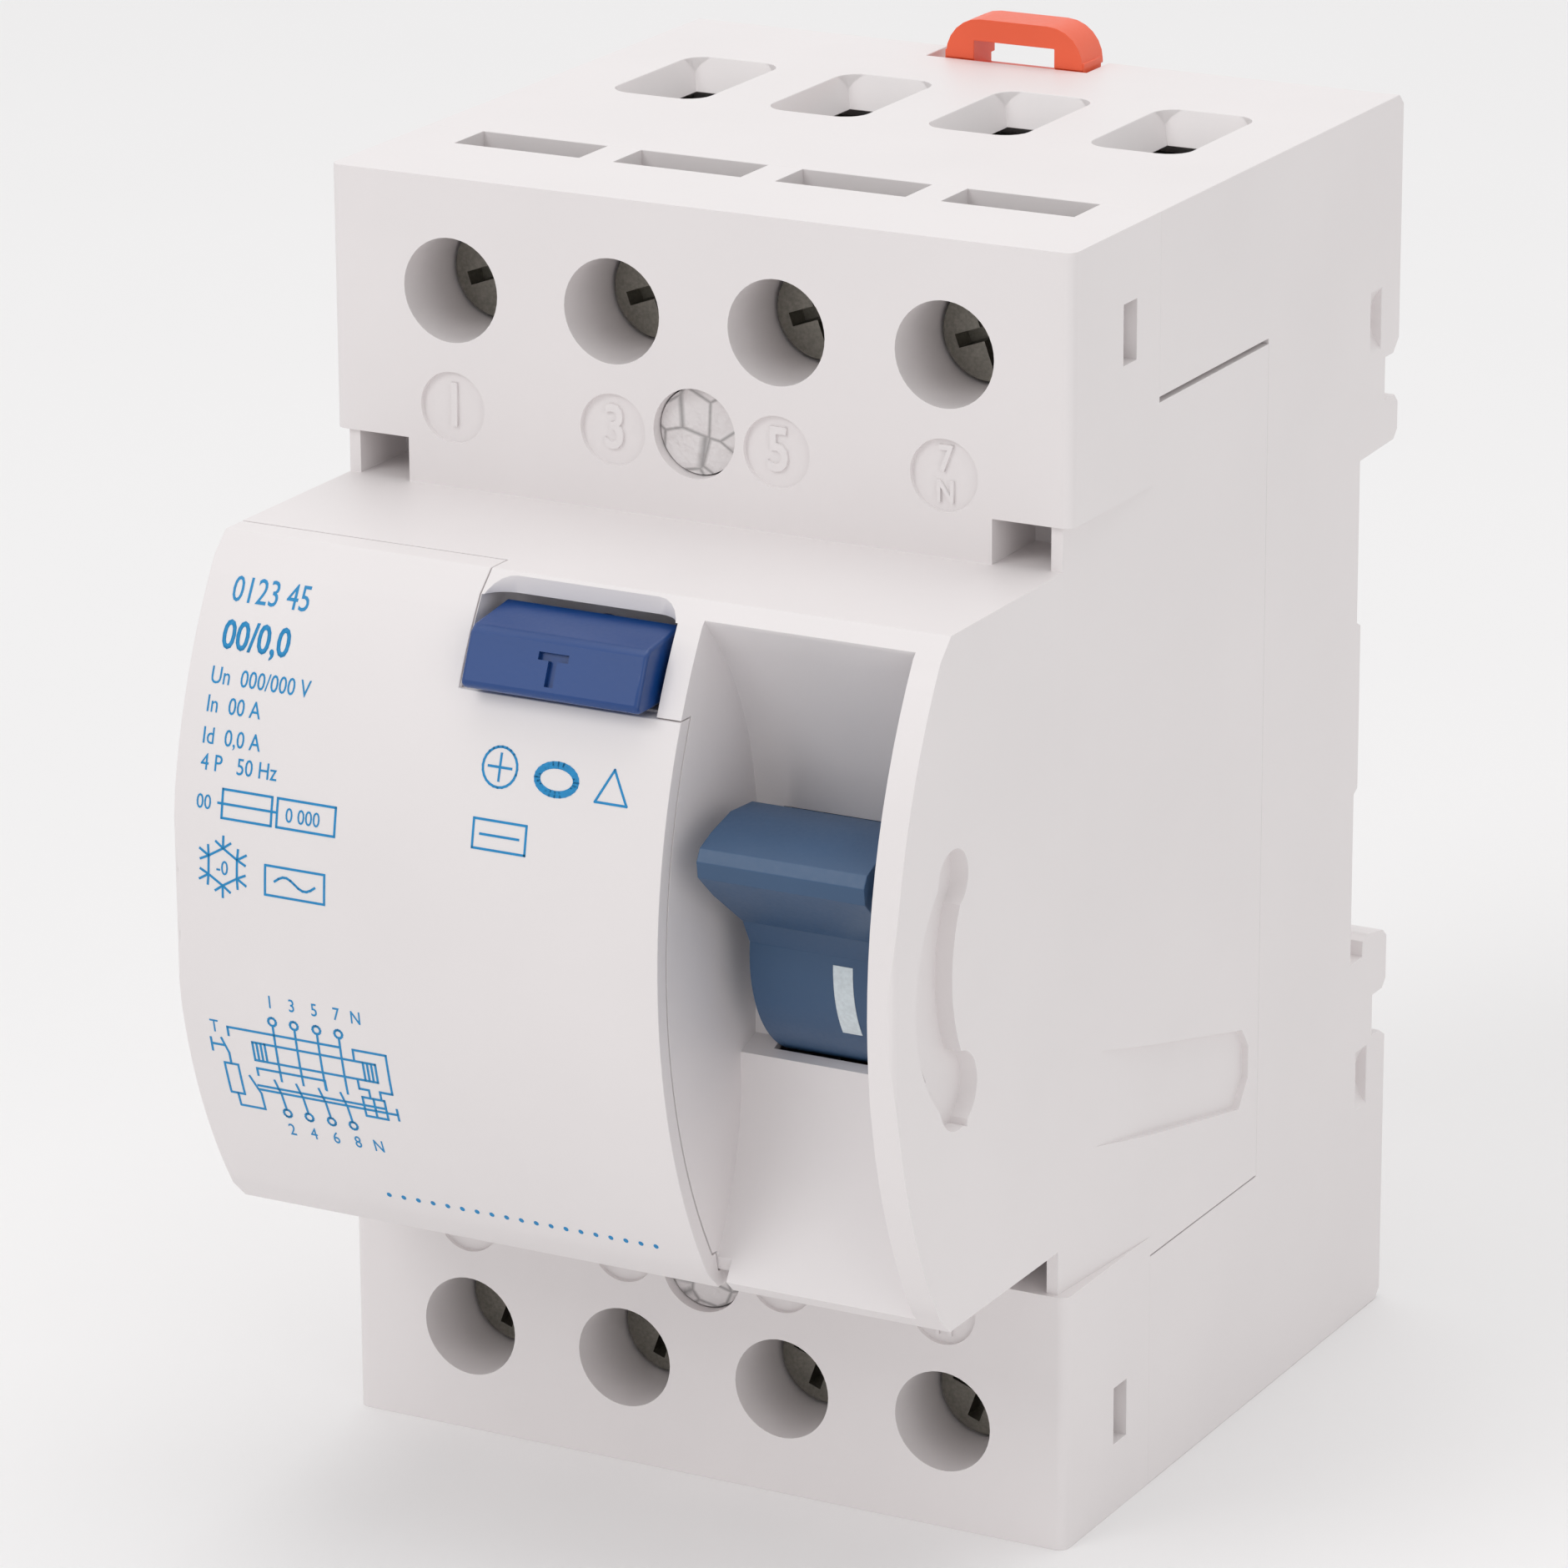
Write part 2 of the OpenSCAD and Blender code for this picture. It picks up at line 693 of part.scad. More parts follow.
module base_end_cuts() {
    for (i = [0 : 3]) {
        box([pole_x(i) - chamber_half, parting_y - past, chamber_e0],
            [pole_x(i) + chamber_half, chamber_back, chamber_e1]);
        box([pole_x(i) - strip_w / 2 - slip, strip_y0 - slip, chamber_e1 - past],
            [pole_x(i) + strip_w / 2 + slip, strip_y1 + slip, inner_e + past]);
        wire_window(pole_x(i));
    }
}

// A springy tongue of the base, whose nub snaps into the cover's window
module latch_tongue(side) {
    x = half_w - wall - slip - tongue_t / 2;
    translate([side * x, 0, latch_e]) {
        box([-tongue_t / 2, latch_y - latch_d / 2, -latch_h / 2 + slip],
            [tongue_t / 2, parting_y + past, latch_h / 2 - slip]);
        box([side > 0 ? 0 : -tongue_t / 2 - 0.9, latch_y - 0.6, -latch_h / 2 + 0.6],
            [side > 0 ? tongue_t / 2 + 0.9 : 0, latch_y + 0.6, latch_h / 2 - 0.6]);
    }
}

module foot_dimples() {
    for (side = [-1, 1]) for (z = [17.3, body_h - 14.6])
        rod_y(side * (half_w + 2.1), z, rail_depth + 0.6, rail_depth + 2.4, 3);
}

module side_recess() {
    z = nose_z0 + 2.4;
    for (side = [-1, 1])
        slab_x([[3.4, z + 3.5], [5.8, z + 9.4], [26, z + 4.4], [27, z + 3], [27, z + 0.8],
            [25.6, z - 1]],
            side > 0 ? half_w - 0.5 : -half_w - past, side > 0 ? half_w + past : -half_w + 0.5);
}

module rear_base() {
    color(housing_colour) from_shoulder() difference() {
        union() {
            difference() {
                base_outline();
                box([-cavity_half, parting_y - past, cavity_z0],
                    [cavity_half, cavity_y1, cavity_z1]);
            }
            at_both_ends() rod_y(0, well_e, parting_y, fixing_y1 + 2, fixing_r + 1.8);
            for (side = [-1, 1]) at_both_ends() latch_tongue(side);
        }
        // Rebates that take the side skirts of the cover
        for (side = [-1, 1])
            box([side > 0 ? half_w - skirt_t - nose_inset - slip : -half_w - past, parting_y - past,
                 skirt_low_e - low_slit],
                [side > 0 ? half_w + past : -half_w + skirt_t + nose_inset + slip,
                 skirt_back + back_slit, body_h - skirt_top_e + top_slit]);
        at_both_ends() {
            base_end_cuts();
            rod_y(0, well_e, parting_y - past, fixing_y1 + 1, fixing_r + slip / 2);
        }
        // Channel of the rail clip, open to the back
        difference() {
            box([channel_x0, channel_y, recess_z1 - past],
                [channel_x1, back_y + past, body_h + past]);
            for (x = [channel_x0, channel_x1])
                box([x - guide_w, clip_y0 + clip_t + free_gap, guide_z0],
                    [x + guide_w, back_y, guide_z0 + guide_h]);
        }
        foot_dimples();
    }
}

module label_plate() {
    color(housing_colour) from_shoulder() plate_shell(slip, bay_x0);
}

// ---------- toggle ----------

module toggle() {
    tip = lever_r;
    on_angle = 26.5;
    color(toggle_colour) from_shoulder() difference() {
        union() {
            rod_x(axle_y, axle_z, toggle_x0, toggle_x1, drum_r);
            rod_x(axle_y, axle_z, toggle_x1 - past, bay_x1 - free_gap, 2.6);
            translate([0, axle_y, axle_z]) slab_x([
                drum_r * [-cos(63), sin(63)] * 0.97,
                (tip - 4.4) * [-cos(51), sin(51)],
                (tip - 2.4) * [-cos(43), sin(43)],
                (tip - 0.9) * [-cos(on_angle + 9), sin(on_angle + 9)],
                tip * [-cos(on_angle + 4.5), sin(on_angle + 4.5)],
                tip * [-cos(on_angle + 1.5), sin(on_angle + 1.5)],
                (tip - 0.6) * [-cos(on_angle - 1.5), sin(on_angle - 1.5)],
                (tip - 3) * [-cos(on_angle - 4.5), sin(on_angle - 4.5)],
                (drum_r + 1.2) * [-cos(15), sin(15)],
                drum_r * [-cos(4), sin(4)] * 0.98,
                [0, 0]],
                toggle_x0, toggle_x1);
        }
        rod_x(axle_y, axle_z, toggle_x0 - past, bay_x1, axle_r + run_fit);
        box([link_x - link_slot_w / 2, axle_y - 0.3, axle_z - drum_r - past],
            [link_x + link_slot_w / 2, axle_y + drum_r + past, axle_z + drum_r + past]);
        rod_x(crank_y, crank_z, link_x - 3.2, link_x + 3.2, crank_pin_r + slip / 5);
    }
}

module toggle_axle() {
    color(steel_colour) from_shoulder()
        rod_x(axle_y, axle_z, bay_x0 - bay_wall + 0.2, bay_x1 + 1, axle_r);
}

module toggle_spring() {
    color(steel_colour) from_shoulder()
        translate([bay_x0 + 0.2, axle_y, axle_z]) rotate([0, 90, 0])
            coil(spring_r, spring_wire, toggle_x0 - bay_x0 - 0.5, 2);
}

module crank_pin() {
    color(steel_colour) from_shoulder()
        rod_x(crank_y, crank_z, link_x - 3, link_x + 3, crank_pin_r);
}

// Steel link from the toggle's crank pin to the contact carrier
module drive_link() {
    half_t = link_slot_w / 2 - free_gap;
    run = [eye_y - crank_y, eye_z - crank_z];
    length = norm(run);
    across = 1.1 * [-run[1], run[0]] / length;
    color(steel_colour) from_shoulder() difference() {
        union() {
            rod_x(crank_y, crank_z, link_x - half_t, link_x + half_t, eye_r);
            rod_x(eye_y, eye_z, link_x - half_t, link_x + half_t, eye_r + link_play);
            slab_x([[crank_y, crank_z] + across, [eye_y, eye_z] + across,
                [eye_y, eye_z] - across, [crank_y, crank_z] - across],
                link_x - half_t, link_x + half_t);
        }
        rod_x(crank_y, crank_z, link_x - 3, link_x + 3, crank_pin_r + run_fit);
        rod_x(eye_y, eye_z, link_x - 3, link_x + 3, crank_pin_r + link_play);
    }
}

// ---------- contacts ----------

module contact_carrier() {
    z0 = bridge_mid_z - carrier_h / 2;
    z1 = bridge_mid_z + carrier_h / 2;
    color(inner_colour) from_shoulder() {
        box([-carrier_half, carrier_y0, z0], [carrier_half, carrier_y1, z1]);
        for (i = [0 : 3]) {
            x = pole_x(i);
            for (side = [-1, 1])
                translate([x + side * (bridge_w / 2 + 0.15 + prong_t / 2), 0, 0])
                    box([-prong_t / 2, carrier_y1 - past, bridge_mid_z - 2],
                        [prong_t / 2, bridge_y1 + 1.3, bridge_mid_z + 2]);
            box([x - bridge_w / 2 - 0.2 - prong_t, bridge_y1 + 0.1, bridge_mid_z - 1],
                [x + bridge_w / 2 + 0.2 + prong_t, bridge_y1 + 1.3, bridge_mid_z + 1]);
        }
        for (side = [-1, 1])
            box([link_x + side * 2 - 0.8, eye_y - 2, eye_z - 2],
                [link_x + side * 2 + 0.8, carrier_y0 + past, eye_z + 2]);
        rod_x(eye_y, eye_z, link_x - 2.4, link_x + 2.4, crank_pin_r);
    }
}

module contact_bridge(i) {
    x = pole_x(i);
    color(copper_colour) from_shoulder() {
        box([x - bridge_w / 2, bridge_y0, lower_rivet_z - 2.2],
            [x + bridge_w / 2, bridge_y1, upper_rivet_z + 2.2]);
        for (z = [lower_rivet_z, upper_rivet_z])
            rod_y(x, z, bridge_y0 + bridge_t / 2, bridge_y1 + rivet_t, rivet_r);
    }
}

module contact_springs() {
    color(steel_colour) from_shoulder() for (i = [0 : 3])
        translate([pole_x(i), carrier_y1 + slip / 2, bridge_mid_z]) rotate([-90, 0, 0])
            coil(1.4, 0.25, bridge_y0 - carrier_y1 - slip, 4, 6, 12);
}

module line_strip(i) {
    x = pole_x(i);
    color(copper_colour) from_shoulder() {
        box([x - strip_w / 2, strip_y0, upper_rivet_z - rivet_r - 1],
            [x + strip_w / 2, strip_y1, body_h - strip_e0]);
        rod_y(x, upper_rivet_z, strip_y0 - rivet_t, strip_y0 + strip_t / 2, rivet_r);
    }
}

// From the lower terminal through the transformer to the lower fixed contact
module load_strip(i) {
    x = pole_x(i);
    side = x < 0 ? -1 : 1;
    outer = i == 0 || i == 3;
    row_y = core_y + (outer ? row_off : -row_off);
    x_riser0 = side > 0 ? riser_x : -riser_x - riser_t;
    x_riser1 = x_riser0 + riser_t;
    reach_low = min(x - strip_w / 2, x_riser0);
    reach_high = max(x + strip_w / 2, x_riser1);
    color(copper_colour) from_shoulder() {
        box([x - strip_w / 2, strip_y0, strip_e0], [x + strip_w / 2, strip_y1, low_run_z + strip_t]);
        for (z = [low_run_z, high_run_z]) {
            box([reach_low, row_y - riser_w / 2, z], [reach_high, row_y + riser_w / 2, z + strip_t]);
            box([x - strip_w / 2, strip_y0, z], [x + strip_w / 2, max(row_y, strip_y1), z + strip_t]);
        }
        box([x_riser0, row_y - riser_w / 2, low_run_z],
            [x_riser1, row_y + riser_w / 2, high_run_z + strip_t]);
        box([x - strip_w / 2, strip_y0, high_run_z],
            [x + strip_w / 2, strip_y1, lower_rivet_z + rivet_r + 1]);
        rod_y(x, lower_rivet_z, strip_y0 - rivet_t, strip_y0 + strip_t / 2, rivet_r);
    }
}

// ---------- summation transformer, relay and lever ----------

module transformer_core() {
    color(inner_colour) from_shoulder() translate([0, core_y, core_z])
        rotate_extrude() translate([core_hole, 0]) square([core_r - core_hole, core_h]);
}

module transformer_winding() {
    color(copper_colour) from_shoulder() translate([0, core_y, core_z])
        rotate_extrude() difference() {
            translate([core_hole - winding_t, -winding_t])
                square([core_r - core_hole + 2 * winding_t, core_h + 2 * winding_t]);
            translate([core_hole - slip / 2, -slip / 2])
                square([core_r - core_hole + slip, core_h + slip]);
        }
}

module transformer_holder() {
    color(inner_colour) from_shoulder() difference() {
        union() {
            box([-core_r - 1, core_y - core_r - 1, shelf_z - slip],
                [core_r + 1, cavity_y1 - slip, shelf_z + shelf_t - slip]);
            for (side = [-1, 1])
                box([side * 8 - 1, core_y + row_off + riser_w, cavity_z0 + slip],
                    [side * 8 + 1, cavity_y1 - slip, shelf_z + slip]);
        }
        translate([0, core_y, shelf_z - past]) cylinder(h = 4, r = core_hole - winding_t);
    }
}

module trip_relay() {
    color(inner_colour) from_shoulder() {
        difference() {
            box([relay_x0, relay_y0, relay_z0],
                [relay_x0 + relay_w, relay_y0 + relay_d, relay_z0 + relay_h]);
            translate([relay_x0 + relay_w / 2, plunger_y, relay_z0 + 3])
                cylinder(h = relay_h, r = plunger_r + run_fit);
        }
    }
}

module relay_plunger() {
    color(steel_colour) from_shoulder()
        translate([relay_x0 + relay_w / 2, plunger_y, relay_z0 + 4])
            cylinder(h = lever_z - lever_t / 2 - plunger_gap - relay_z0 - 4, r = plunger_r);
}

module trip_lever() {
    color("#ddd6c4") from_shoulder() difference() {
        union() {
            box([relay_x0 + 2, lever_pin_y - 1.6, lever_z - lever_t / 2],
                [relay_x0 + relay_w, plunger_y + 2, lever_z + lever_t / 2]);
            rod_x(lever_pin_y, lever_z, relay_x0, bay_x0 - bay_wall - 3, 1.8);
        }
        rod_x(lever_pin_y, lever_z, -half_w, half_w, lever_pin_r + run_fit);
    }
}

module trip_lever_pin() {
    color(steel_colour) from_shoulder()
        rod_x(lever_pin_y, lever_z, -cavity_half - 0.8, bay_x0 - bay_wall - 1, lever_pin_r);
}

// ---------- test circuit ----------

module test_button() {
    color(button_colour) from_shoulder() {
        slab_x([
            [button_front_y + 0.4, button_z0], [button_back_y, button_z0],
            [button_back_y, button_z0 + button_h + 0.5],
            [button_front_y + button_lean + 0.5, button_z0 + button_h],
            [button_front_y + button_lean, button_z0 + button_h - 0.4],
            [button_front_y, button_z0 + 0.4]],
            button_x0, button_x1);
        rod_y(stem_x, stem_z, button_back_y - 1, stem_end_y, stem_r);
    }
}

module test_blade() {
    color(copper_colour) from_shoulder()
        box([stem_x - blade_arm, blade_y, stem_z - 1.6], [stem_x + 2, blade_y + blade_t, stem_z + 1.6]);
}

// Fixed contact behind the blade, on the wall beside the toggle
module test_contact() {
    color(copper_colour) from_shoulder() {
        box([stem_x - 2, contact_y + 0.5, stem_z - 2],
            [bay_x0 - bay_wall - slip, contact_y + 1, stem_z + 2]);
        rod_y(stem_x, stem_z, contact_y, contact_y + 0.8, 1.2);
    }
}

module test_resistor() {
    x = bay_x0 - bay_wall - slip - resistor_r;
    y = contact_y - 1;
    color("#b98a5e") from_shoulder() translate([x, y, stem_z - resistor_drop]) {
        cylinder(h = resistor_len, r = resistor_r);
        translate([0, 0, -3]) cylinder(h = resistor_len + 6, r = 0.35);
    }
}

// ---------- terminals ----------

module terminal_screw(k) {
    x = pole_x(k % 4);
    color(steel_colour) from_shoulder() at_end(k < 4) difference() {
        union() {
            rod_y(x, screw_e, head_y, head_y + head_t, head_r);
            rod_y(x, screw_e, head_y + head_t / 2, screw_tip_y, thread_r);
        }
        for (turn = [0, 90]) translate([x, head_y, screw_e]) rotate([0, 20 + turn, 0])
            box([-2.3, -past, -0.45], [2.3, 1.7, 0.45]);
    }
}

module terminal_cage(k) {
    x = pole_x(k % 4);
    color(steel_colour) from_shoulder() at_end(k < 4) difference() {
        box([x - cage_w / 2, cage_y0, cage_e0], [x + cage_w / 2, cage_y1, cage_e1]);
        box([x - cage_w / 2 + cage_wall, cage_y0 + cage_front, cage_e0 - past],
            [x + cage_w / 2 - cage_wall, cage_y1 - cage_wall, cage_e1 + past]);
        rod_y(x, screw_e, cage_y0 - past, cage_y0 + cage_front + past, thread_r + run_fit);
    }
}

// ---------- fasteners and clip ----------

module assembly_screws() {
    color(steel_colour) from_shoulder() at_both_ends() difference() {
        union() {
            rod_y(0, well_e, well_deep - 1.8, well_deep, well_r - free_gap);
            rod_y(0, well_e, well_deep - 1, fixing_y1, fixing_r);
        }
        box([-2, well_deep - 3, well_e - 0.35], [2, well_deep - 1.1, well_e + 0.35]);
    }
}

module screw_seal() {
    color(housing_colour) from_shoulder() at_both_ends()
        rod_y(0, well_e, 0.8, 1.8, well_r - slip);
}

module rail_clip() {
    half = clip_w / 2;
    jaw_z = recess_z1 - jaw_drop;
    color(clip_colour) from_shoulder() translate([clip_x, 0, 0]) difference() {
        union() {
            box([-half, clip_y0, recess_z1 - 0.5], [half, clip_y0 + clip_t, body_h + 0.5]);
            slab_x([[lip_y + 0.2, jaw_z + 0.9], [lip_y + 1.1, jaw_z], [clip_y0 + clip_t, jaw_z],
                [clip_y0 + clip_t, recess_z1], [lip_y + 0.2, recess_z1]], -half, half);
            translate([0, arch_y0 + arch_t, 0]) rotate([90, 0, 0]) linear_extrude(arch_t)
                polygon(concat([[arch_w / 2, body_h]],
                    arc_points([arch_w / 2 - 2.6, body_h + arch_h - 2.6], 2.6, 0, 90, 6),
                    arc_points([-arch_w / 2 + 2.6, body_h + arch_h - 2.6], 2.6, 90, 180, 6),
                    [[-arch_w / 2, body_h]]));
        }
        box([-arch_window_w / 2, arch_y0 - past, body_h - 0.6],
            [arch_window_w / 2, back_y + past, body_h + arch_window_h - 0.6]);
    }
}

front_cover();
rear_base();
label_plate();
test_button();
test_blade();
test_contact();
test_resistor();
toggle();
toggle_axle();
toggle_spring();
drive_link();
crank_pin();
contact_carrier();
contact_bridge(0);  // contact_bridge_1
contact_bridge(1);  // contact_bridge_2
contact_bridge(2);  // contact_bridge_3
contact_bridge(3);  // contact_bridge_4
contact_springs();
line_strip(0);  // line_strip_1
line_strip(1);  // line_strip_2
line_strip(2);  // line_strip_3
line_strip(3);  // line_strip_4
load_strip(0);  // load_strip_1
load_strip(1);  // load_strip_2
load_strip(2);  // load_strip_3
load_strip(3);  // load_strip_4
transformer_core();
transformer_winding();
transformer_holder();
trip_relay();
relay_plunger();
trip_lever();
trip_lever_pin();
terminal_screw(0);  // terminal_screw_1
terminal_screw(1);  // terminal_screw_2
terminal_screw(2);  // terminal_screw_3
terminal_screw(3);  // terminal_screw_4
terminal_screw(4);  // terminal_screw_5
terminal_screw(5);  // terminal_screw_6
terminal_screw(6);  // terminal_screw_7
terminal_screw(7);  // terminal_screw_8
terminal_cage(0);  // terminal_cage_1
terminal_cage(1);  // terminal_cage_2
terminal_cage(2);  // terminal_cage_3
terminal_cage(3);  // terminal_cage_4
terminal_cage(4);  // terminal_cage_5
terminal_cage(5);  // terminal_cage_6
terminal_cage(6);  // terminal_cage_7
terminal_cage(7);  // terminal_cage_8
assembly_screws();
screw_seal();
rail_clip();
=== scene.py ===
"""Looks of a four-pole residual current switch: moulded housing, controls, print and metalwork."""

import json
import math

import bpy
from mathutils import Matrix, Vector

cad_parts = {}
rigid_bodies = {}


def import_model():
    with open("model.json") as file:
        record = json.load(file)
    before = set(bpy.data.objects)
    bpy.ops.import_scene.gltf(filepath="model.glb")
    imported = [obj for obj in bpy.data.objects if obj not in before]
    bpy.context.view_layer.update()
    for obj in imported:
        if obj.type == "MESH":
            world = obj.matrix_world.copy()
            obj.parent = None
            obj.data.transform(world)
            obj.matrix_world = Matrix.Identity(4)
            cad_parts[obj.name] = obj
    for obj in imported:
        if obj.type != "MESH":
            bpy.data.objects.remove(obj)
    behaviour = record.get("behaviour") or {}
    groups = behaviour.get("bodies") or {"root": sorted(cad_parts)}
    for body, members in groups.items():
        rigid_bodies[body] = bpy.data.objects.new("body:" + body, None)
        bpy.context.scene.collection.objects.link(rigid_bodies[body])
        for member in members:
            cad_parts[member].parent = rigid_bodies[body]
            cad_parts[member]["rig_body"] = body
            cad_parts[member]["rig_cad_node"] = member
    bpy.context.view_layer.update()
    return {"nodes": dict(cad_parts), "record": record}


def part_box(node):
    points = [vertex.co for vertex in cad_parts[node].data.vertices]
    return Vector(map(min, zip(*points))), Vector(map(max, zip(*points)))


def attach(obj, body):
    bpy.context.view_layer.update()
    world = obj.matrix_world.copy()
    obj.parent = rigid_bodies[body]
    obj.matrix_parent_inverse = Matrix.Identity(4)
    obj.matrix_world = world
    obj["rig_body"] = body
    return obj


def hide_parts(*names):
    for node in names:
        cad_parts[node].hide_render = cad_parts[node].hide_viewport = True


bl_info = {
    "name": "Residual current switch",
    "version": (1, 0, 0),
    "blender": (4, 5, 0),
    "location": "View3D > Sidebar > Switch",
    "description": "Finishes the surfaces of a four-pole residual current switch",
    "category": "Object",
}

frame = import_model()

MM = 0.001
NOSE_DEPTH = 22 * MM
POLE_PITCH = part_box("terminal_screw_2")[0].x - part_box("terminal_screw_1")[0].x
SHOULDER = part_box("front_cover")[0].y + NOSE_DEPTH
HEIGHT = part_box("front_cover")[1].z


def place(x, y, z):
    """A point given in millimetres from the shoulder face, in the frame."""
    return Vector((x * MM, SHOULDER + y * MM, z * MM))


# ---------- settings ----------


class SwitchSizes(bpy.types.PropertyGroup):
    """Sizes of the finish."""

    housing_edge: bpy.props.FloatProperty(
        name="Housing edge", description="Rounding of the housing's edges",
        default=0.22 * MM, unit="LENGTH")
    control_edge: bpy.props.FloatProperty(
        name="Control edge", description="Rounding of the button's and the toggle's edges",
        default=0.55 * MM, unit="LENGTH")
    lever_edge: bpy.props.FloatProperty(
        name="Toggle edge", description="Radius of the toggle's edges",
        default=0.7 * MM, unit="LENGTH")
    clip_edge: bpy.props.FloatProperty(
        name="Clip edge", description="Rounding of the rail clip's edges",
        default=0.3 * MM, unit="LENGTH")
    numeral: bpy.props.FloatProperty(
        name="Numeral", description="Height of the terminal numbers",
        default=2.9 * MM, unit="LENGTH")
    relief: bpy.props.FloatProperty(
        name="Relief", description="How far raised numbers stand out, and the T is sunk",
        default=0.34 * MM, unit="LENGTH")
    ink: bpy.props.FloatProperty(
        name="Ink", description="Thickness of the printed ink",
        default=0.03 * MM, unit="LENGTH")
    line: bpy.props.FloatProperty(
        name="Printed line", description="Width of a printed line",
        default=0.15 * MM, unit="LENGTH")


class SwitchColours(bpy.types.PropertyGroup):
    """Colours as sRGB hex values."""

    housing: bpy.props.StringProperty(
        name="Housing", description="Warm white of the mouldings", default="#E9E4E4")
    button: bpy.props.StringProperty(
        name="Button", description="Deep blue of the test button", default="#083A78")
    toggle: bpy.props.StringProperty(
        name="Toggle", description="Grey blue of the toggle", default="#2F4E70")
    clip: bpy.props.StringProperty(
        name="Clip", description="Orange red of the rail clip", default="#F0603A")
    ink: bpy.props.StringProperty(
        name="Ink", description="Blue of the printed symbols", default="#0A86C0")
    mark: bpy.props.StringProperty(
        name="Mark", description="Pale grey of the mark on the toggle", default="#D5DEE2")
    zinc: bpy.props.StringProperty(
        name="Zinc", description="Plated steel", default="#B4B2AC")
    copper: bpy.props.StringProperty(
        name="Copper", description="Bare copper", default="#C98A64")
    floor: bpy.props.StringProperty(
        name="Floor", description="Floor and backdrop", default="#F4F3F3")


class SwitchView(bpy.types.PropertyGroup):
    """Where the camera stands."""

    azimuth: bpy.props.FloatProperty(
        name="Azimuth", description="Angle from straight in front, to the right",
        default=math.radians(28.271), subtype="ANGLE")
    elevation: bpy.props.FloatProperty(
        name="Elevation", description="Angle above the level",
        default=math.radians(17.978), subtype="ANGLE")
    roll: bpy.props.FloatProperty(
        name="Roll", description="Lean of the camera", default=math.radians(-0.296),
        subtype="ANGLE")
    distance: bpy.props.FloatProperty(
        name="Distance", description="From the middle of the switch", default=496.888 * MM,
        unit="LENGTH")
    focal: bpy.props.FloatProperty(
        name="Focal length", description="In millimetres", default=171.97)


# ---------- materials ----------


def linear(hex_colour):
    """An sRGB hex value as linear red, green, blue and alpha."""
    parts = [int(hex_colour[i:i + 2], 16) / 255 for i in (1, 3, 5)]
    return [c / 12.92 if c <= 0.04045 else ((c + 0.055) / 1.055) ** 2.4 for c in parts] + [1.0]


def add_node(tree, kind, settings=None, links=None, **properties):
    """Adds a node with its properties, socket values and incoming links."""
    node = tree.nodes.new(kind)
    for key, value in properties.items():
        setattr(node, key, value)
    for key, value in (settings or {}).items():
        node.inputs[key].default_value = value
    for key, source in (links or {}).items():
        tree.links.new(source, node.inputs[key])
    return node


def new_material(name):
    """An empty node material with its shader and Object coordinates."""
    material = bpy.data.materials.new(name)
    material.use_nodes = True
    tree = material.node_tree
    tree.nodes.clear()
    shader = add_node(tree, "ShaderNodeBsdfPrincipled")
    add_node(tree, "ShaderNodeOutputMaterial", links={"Surface": shader.outputs["BSDF"]})
    place_of = add_node(tree, "ShaderNodeTexCoord").outputs["Object"]
    return material, tree, shader, place_of


def noise(tree, coordinates, grain, detail=2.0):
    """Noise whose grains are about that size in metres."""
    return add_node(tree, "ShaderNodeTexNoise", {"Scale": 1 / grain, "Detail": detail},
                    {"Vector": coordinates})


def ramp(tree, factor, low, high, start=0.3, end=0.7):
    """A colour ramp from low to high, both linear colours."""
    node = add_node(tree, "ShaderNodeValToRGB", links={"Fac": factor})
    node.color_ramp.elements[0].position = start
    node.color_ramp.elements[0].color = low
    node.color_ramp.elements[1].position = end
    node.color_ramp.elements[1].color = high
    return node.outputs["Color"]


def shade(colour, factor):
    """A linear colour made darker or lighter."""
    return [min(1.0, c * factor) for c in colour[:3]] + [1.0]


def spread(tree, factor, low, high):
    """A number that runs from low to high with the factor."""
    node = add_node(tree, "ShaderNodeMapRange", {"To Min": low, "To Max": high},
                    {"Value": factor})
    return node.outputs["Result"]


def bump(tree, shader, height, strength, distance):
    """Relief from a height."""
    node = add_node(tree, "ShaderNodeBump", {"Strength": strength, "Distance": distance},
                    {"Height": height})
    tree.links.new(node.outputs["Normal"], shader.inputs["Normal"])


def moulded(name, colour, rough, grain, relief, mottle=0.04):
    """A moulding: spark-eroded texture, and tone that drifts slowly where the melt flowed."""
    material, tree, shader, at = new_material(name)
    flow = noise(tree, at, 14 * MM, 3).outputs["Fac"]
    base = ramp(tree, flow, shade(colour, 1 - mottle), shade(colour, 1 + mottle))
    tree.links.new(base, shader.inputs["Base Color"])
    texture = noise(tree, at, grain, 3).outputs["Fac"]
    tree.links.new(spread(tree, texture, rough - 0.07, rough + 0.07), shader.inputs["Roughness"])
    shader.inputs["IOR"].default_value = 1.53
    bump(tree, shader, texture, relief, 0.03 * MM)
    return material


def sealed(name, colour):
    """Pressed-in sealing compound: lumps with fine dark cracks between them."""
    material, tree, shader, at = new_material(name)
    cracks = add_node(tree, "ShaderNodeTexVoronoi", {"Scale": 1 / (2.2 * MM)},
                      {"Vector": at}, feature="DISTANCE_TO_EDGE").outputs["Distance"]
    lumps = noise(tree, at, 1.4 * MM, 3).outputs["Fac"]
    tree.links.new(ramp(tree, cracks, shade(colour, 0.42), shade(colour, 0.93), 0.0, 0.07),
                   shader.inputs["Base Color"])
    shader.inputs["Roughness"].default_value = 0.3
    bump(tree, shader, lumps, 0.9, 0.6 * MM)
    return material


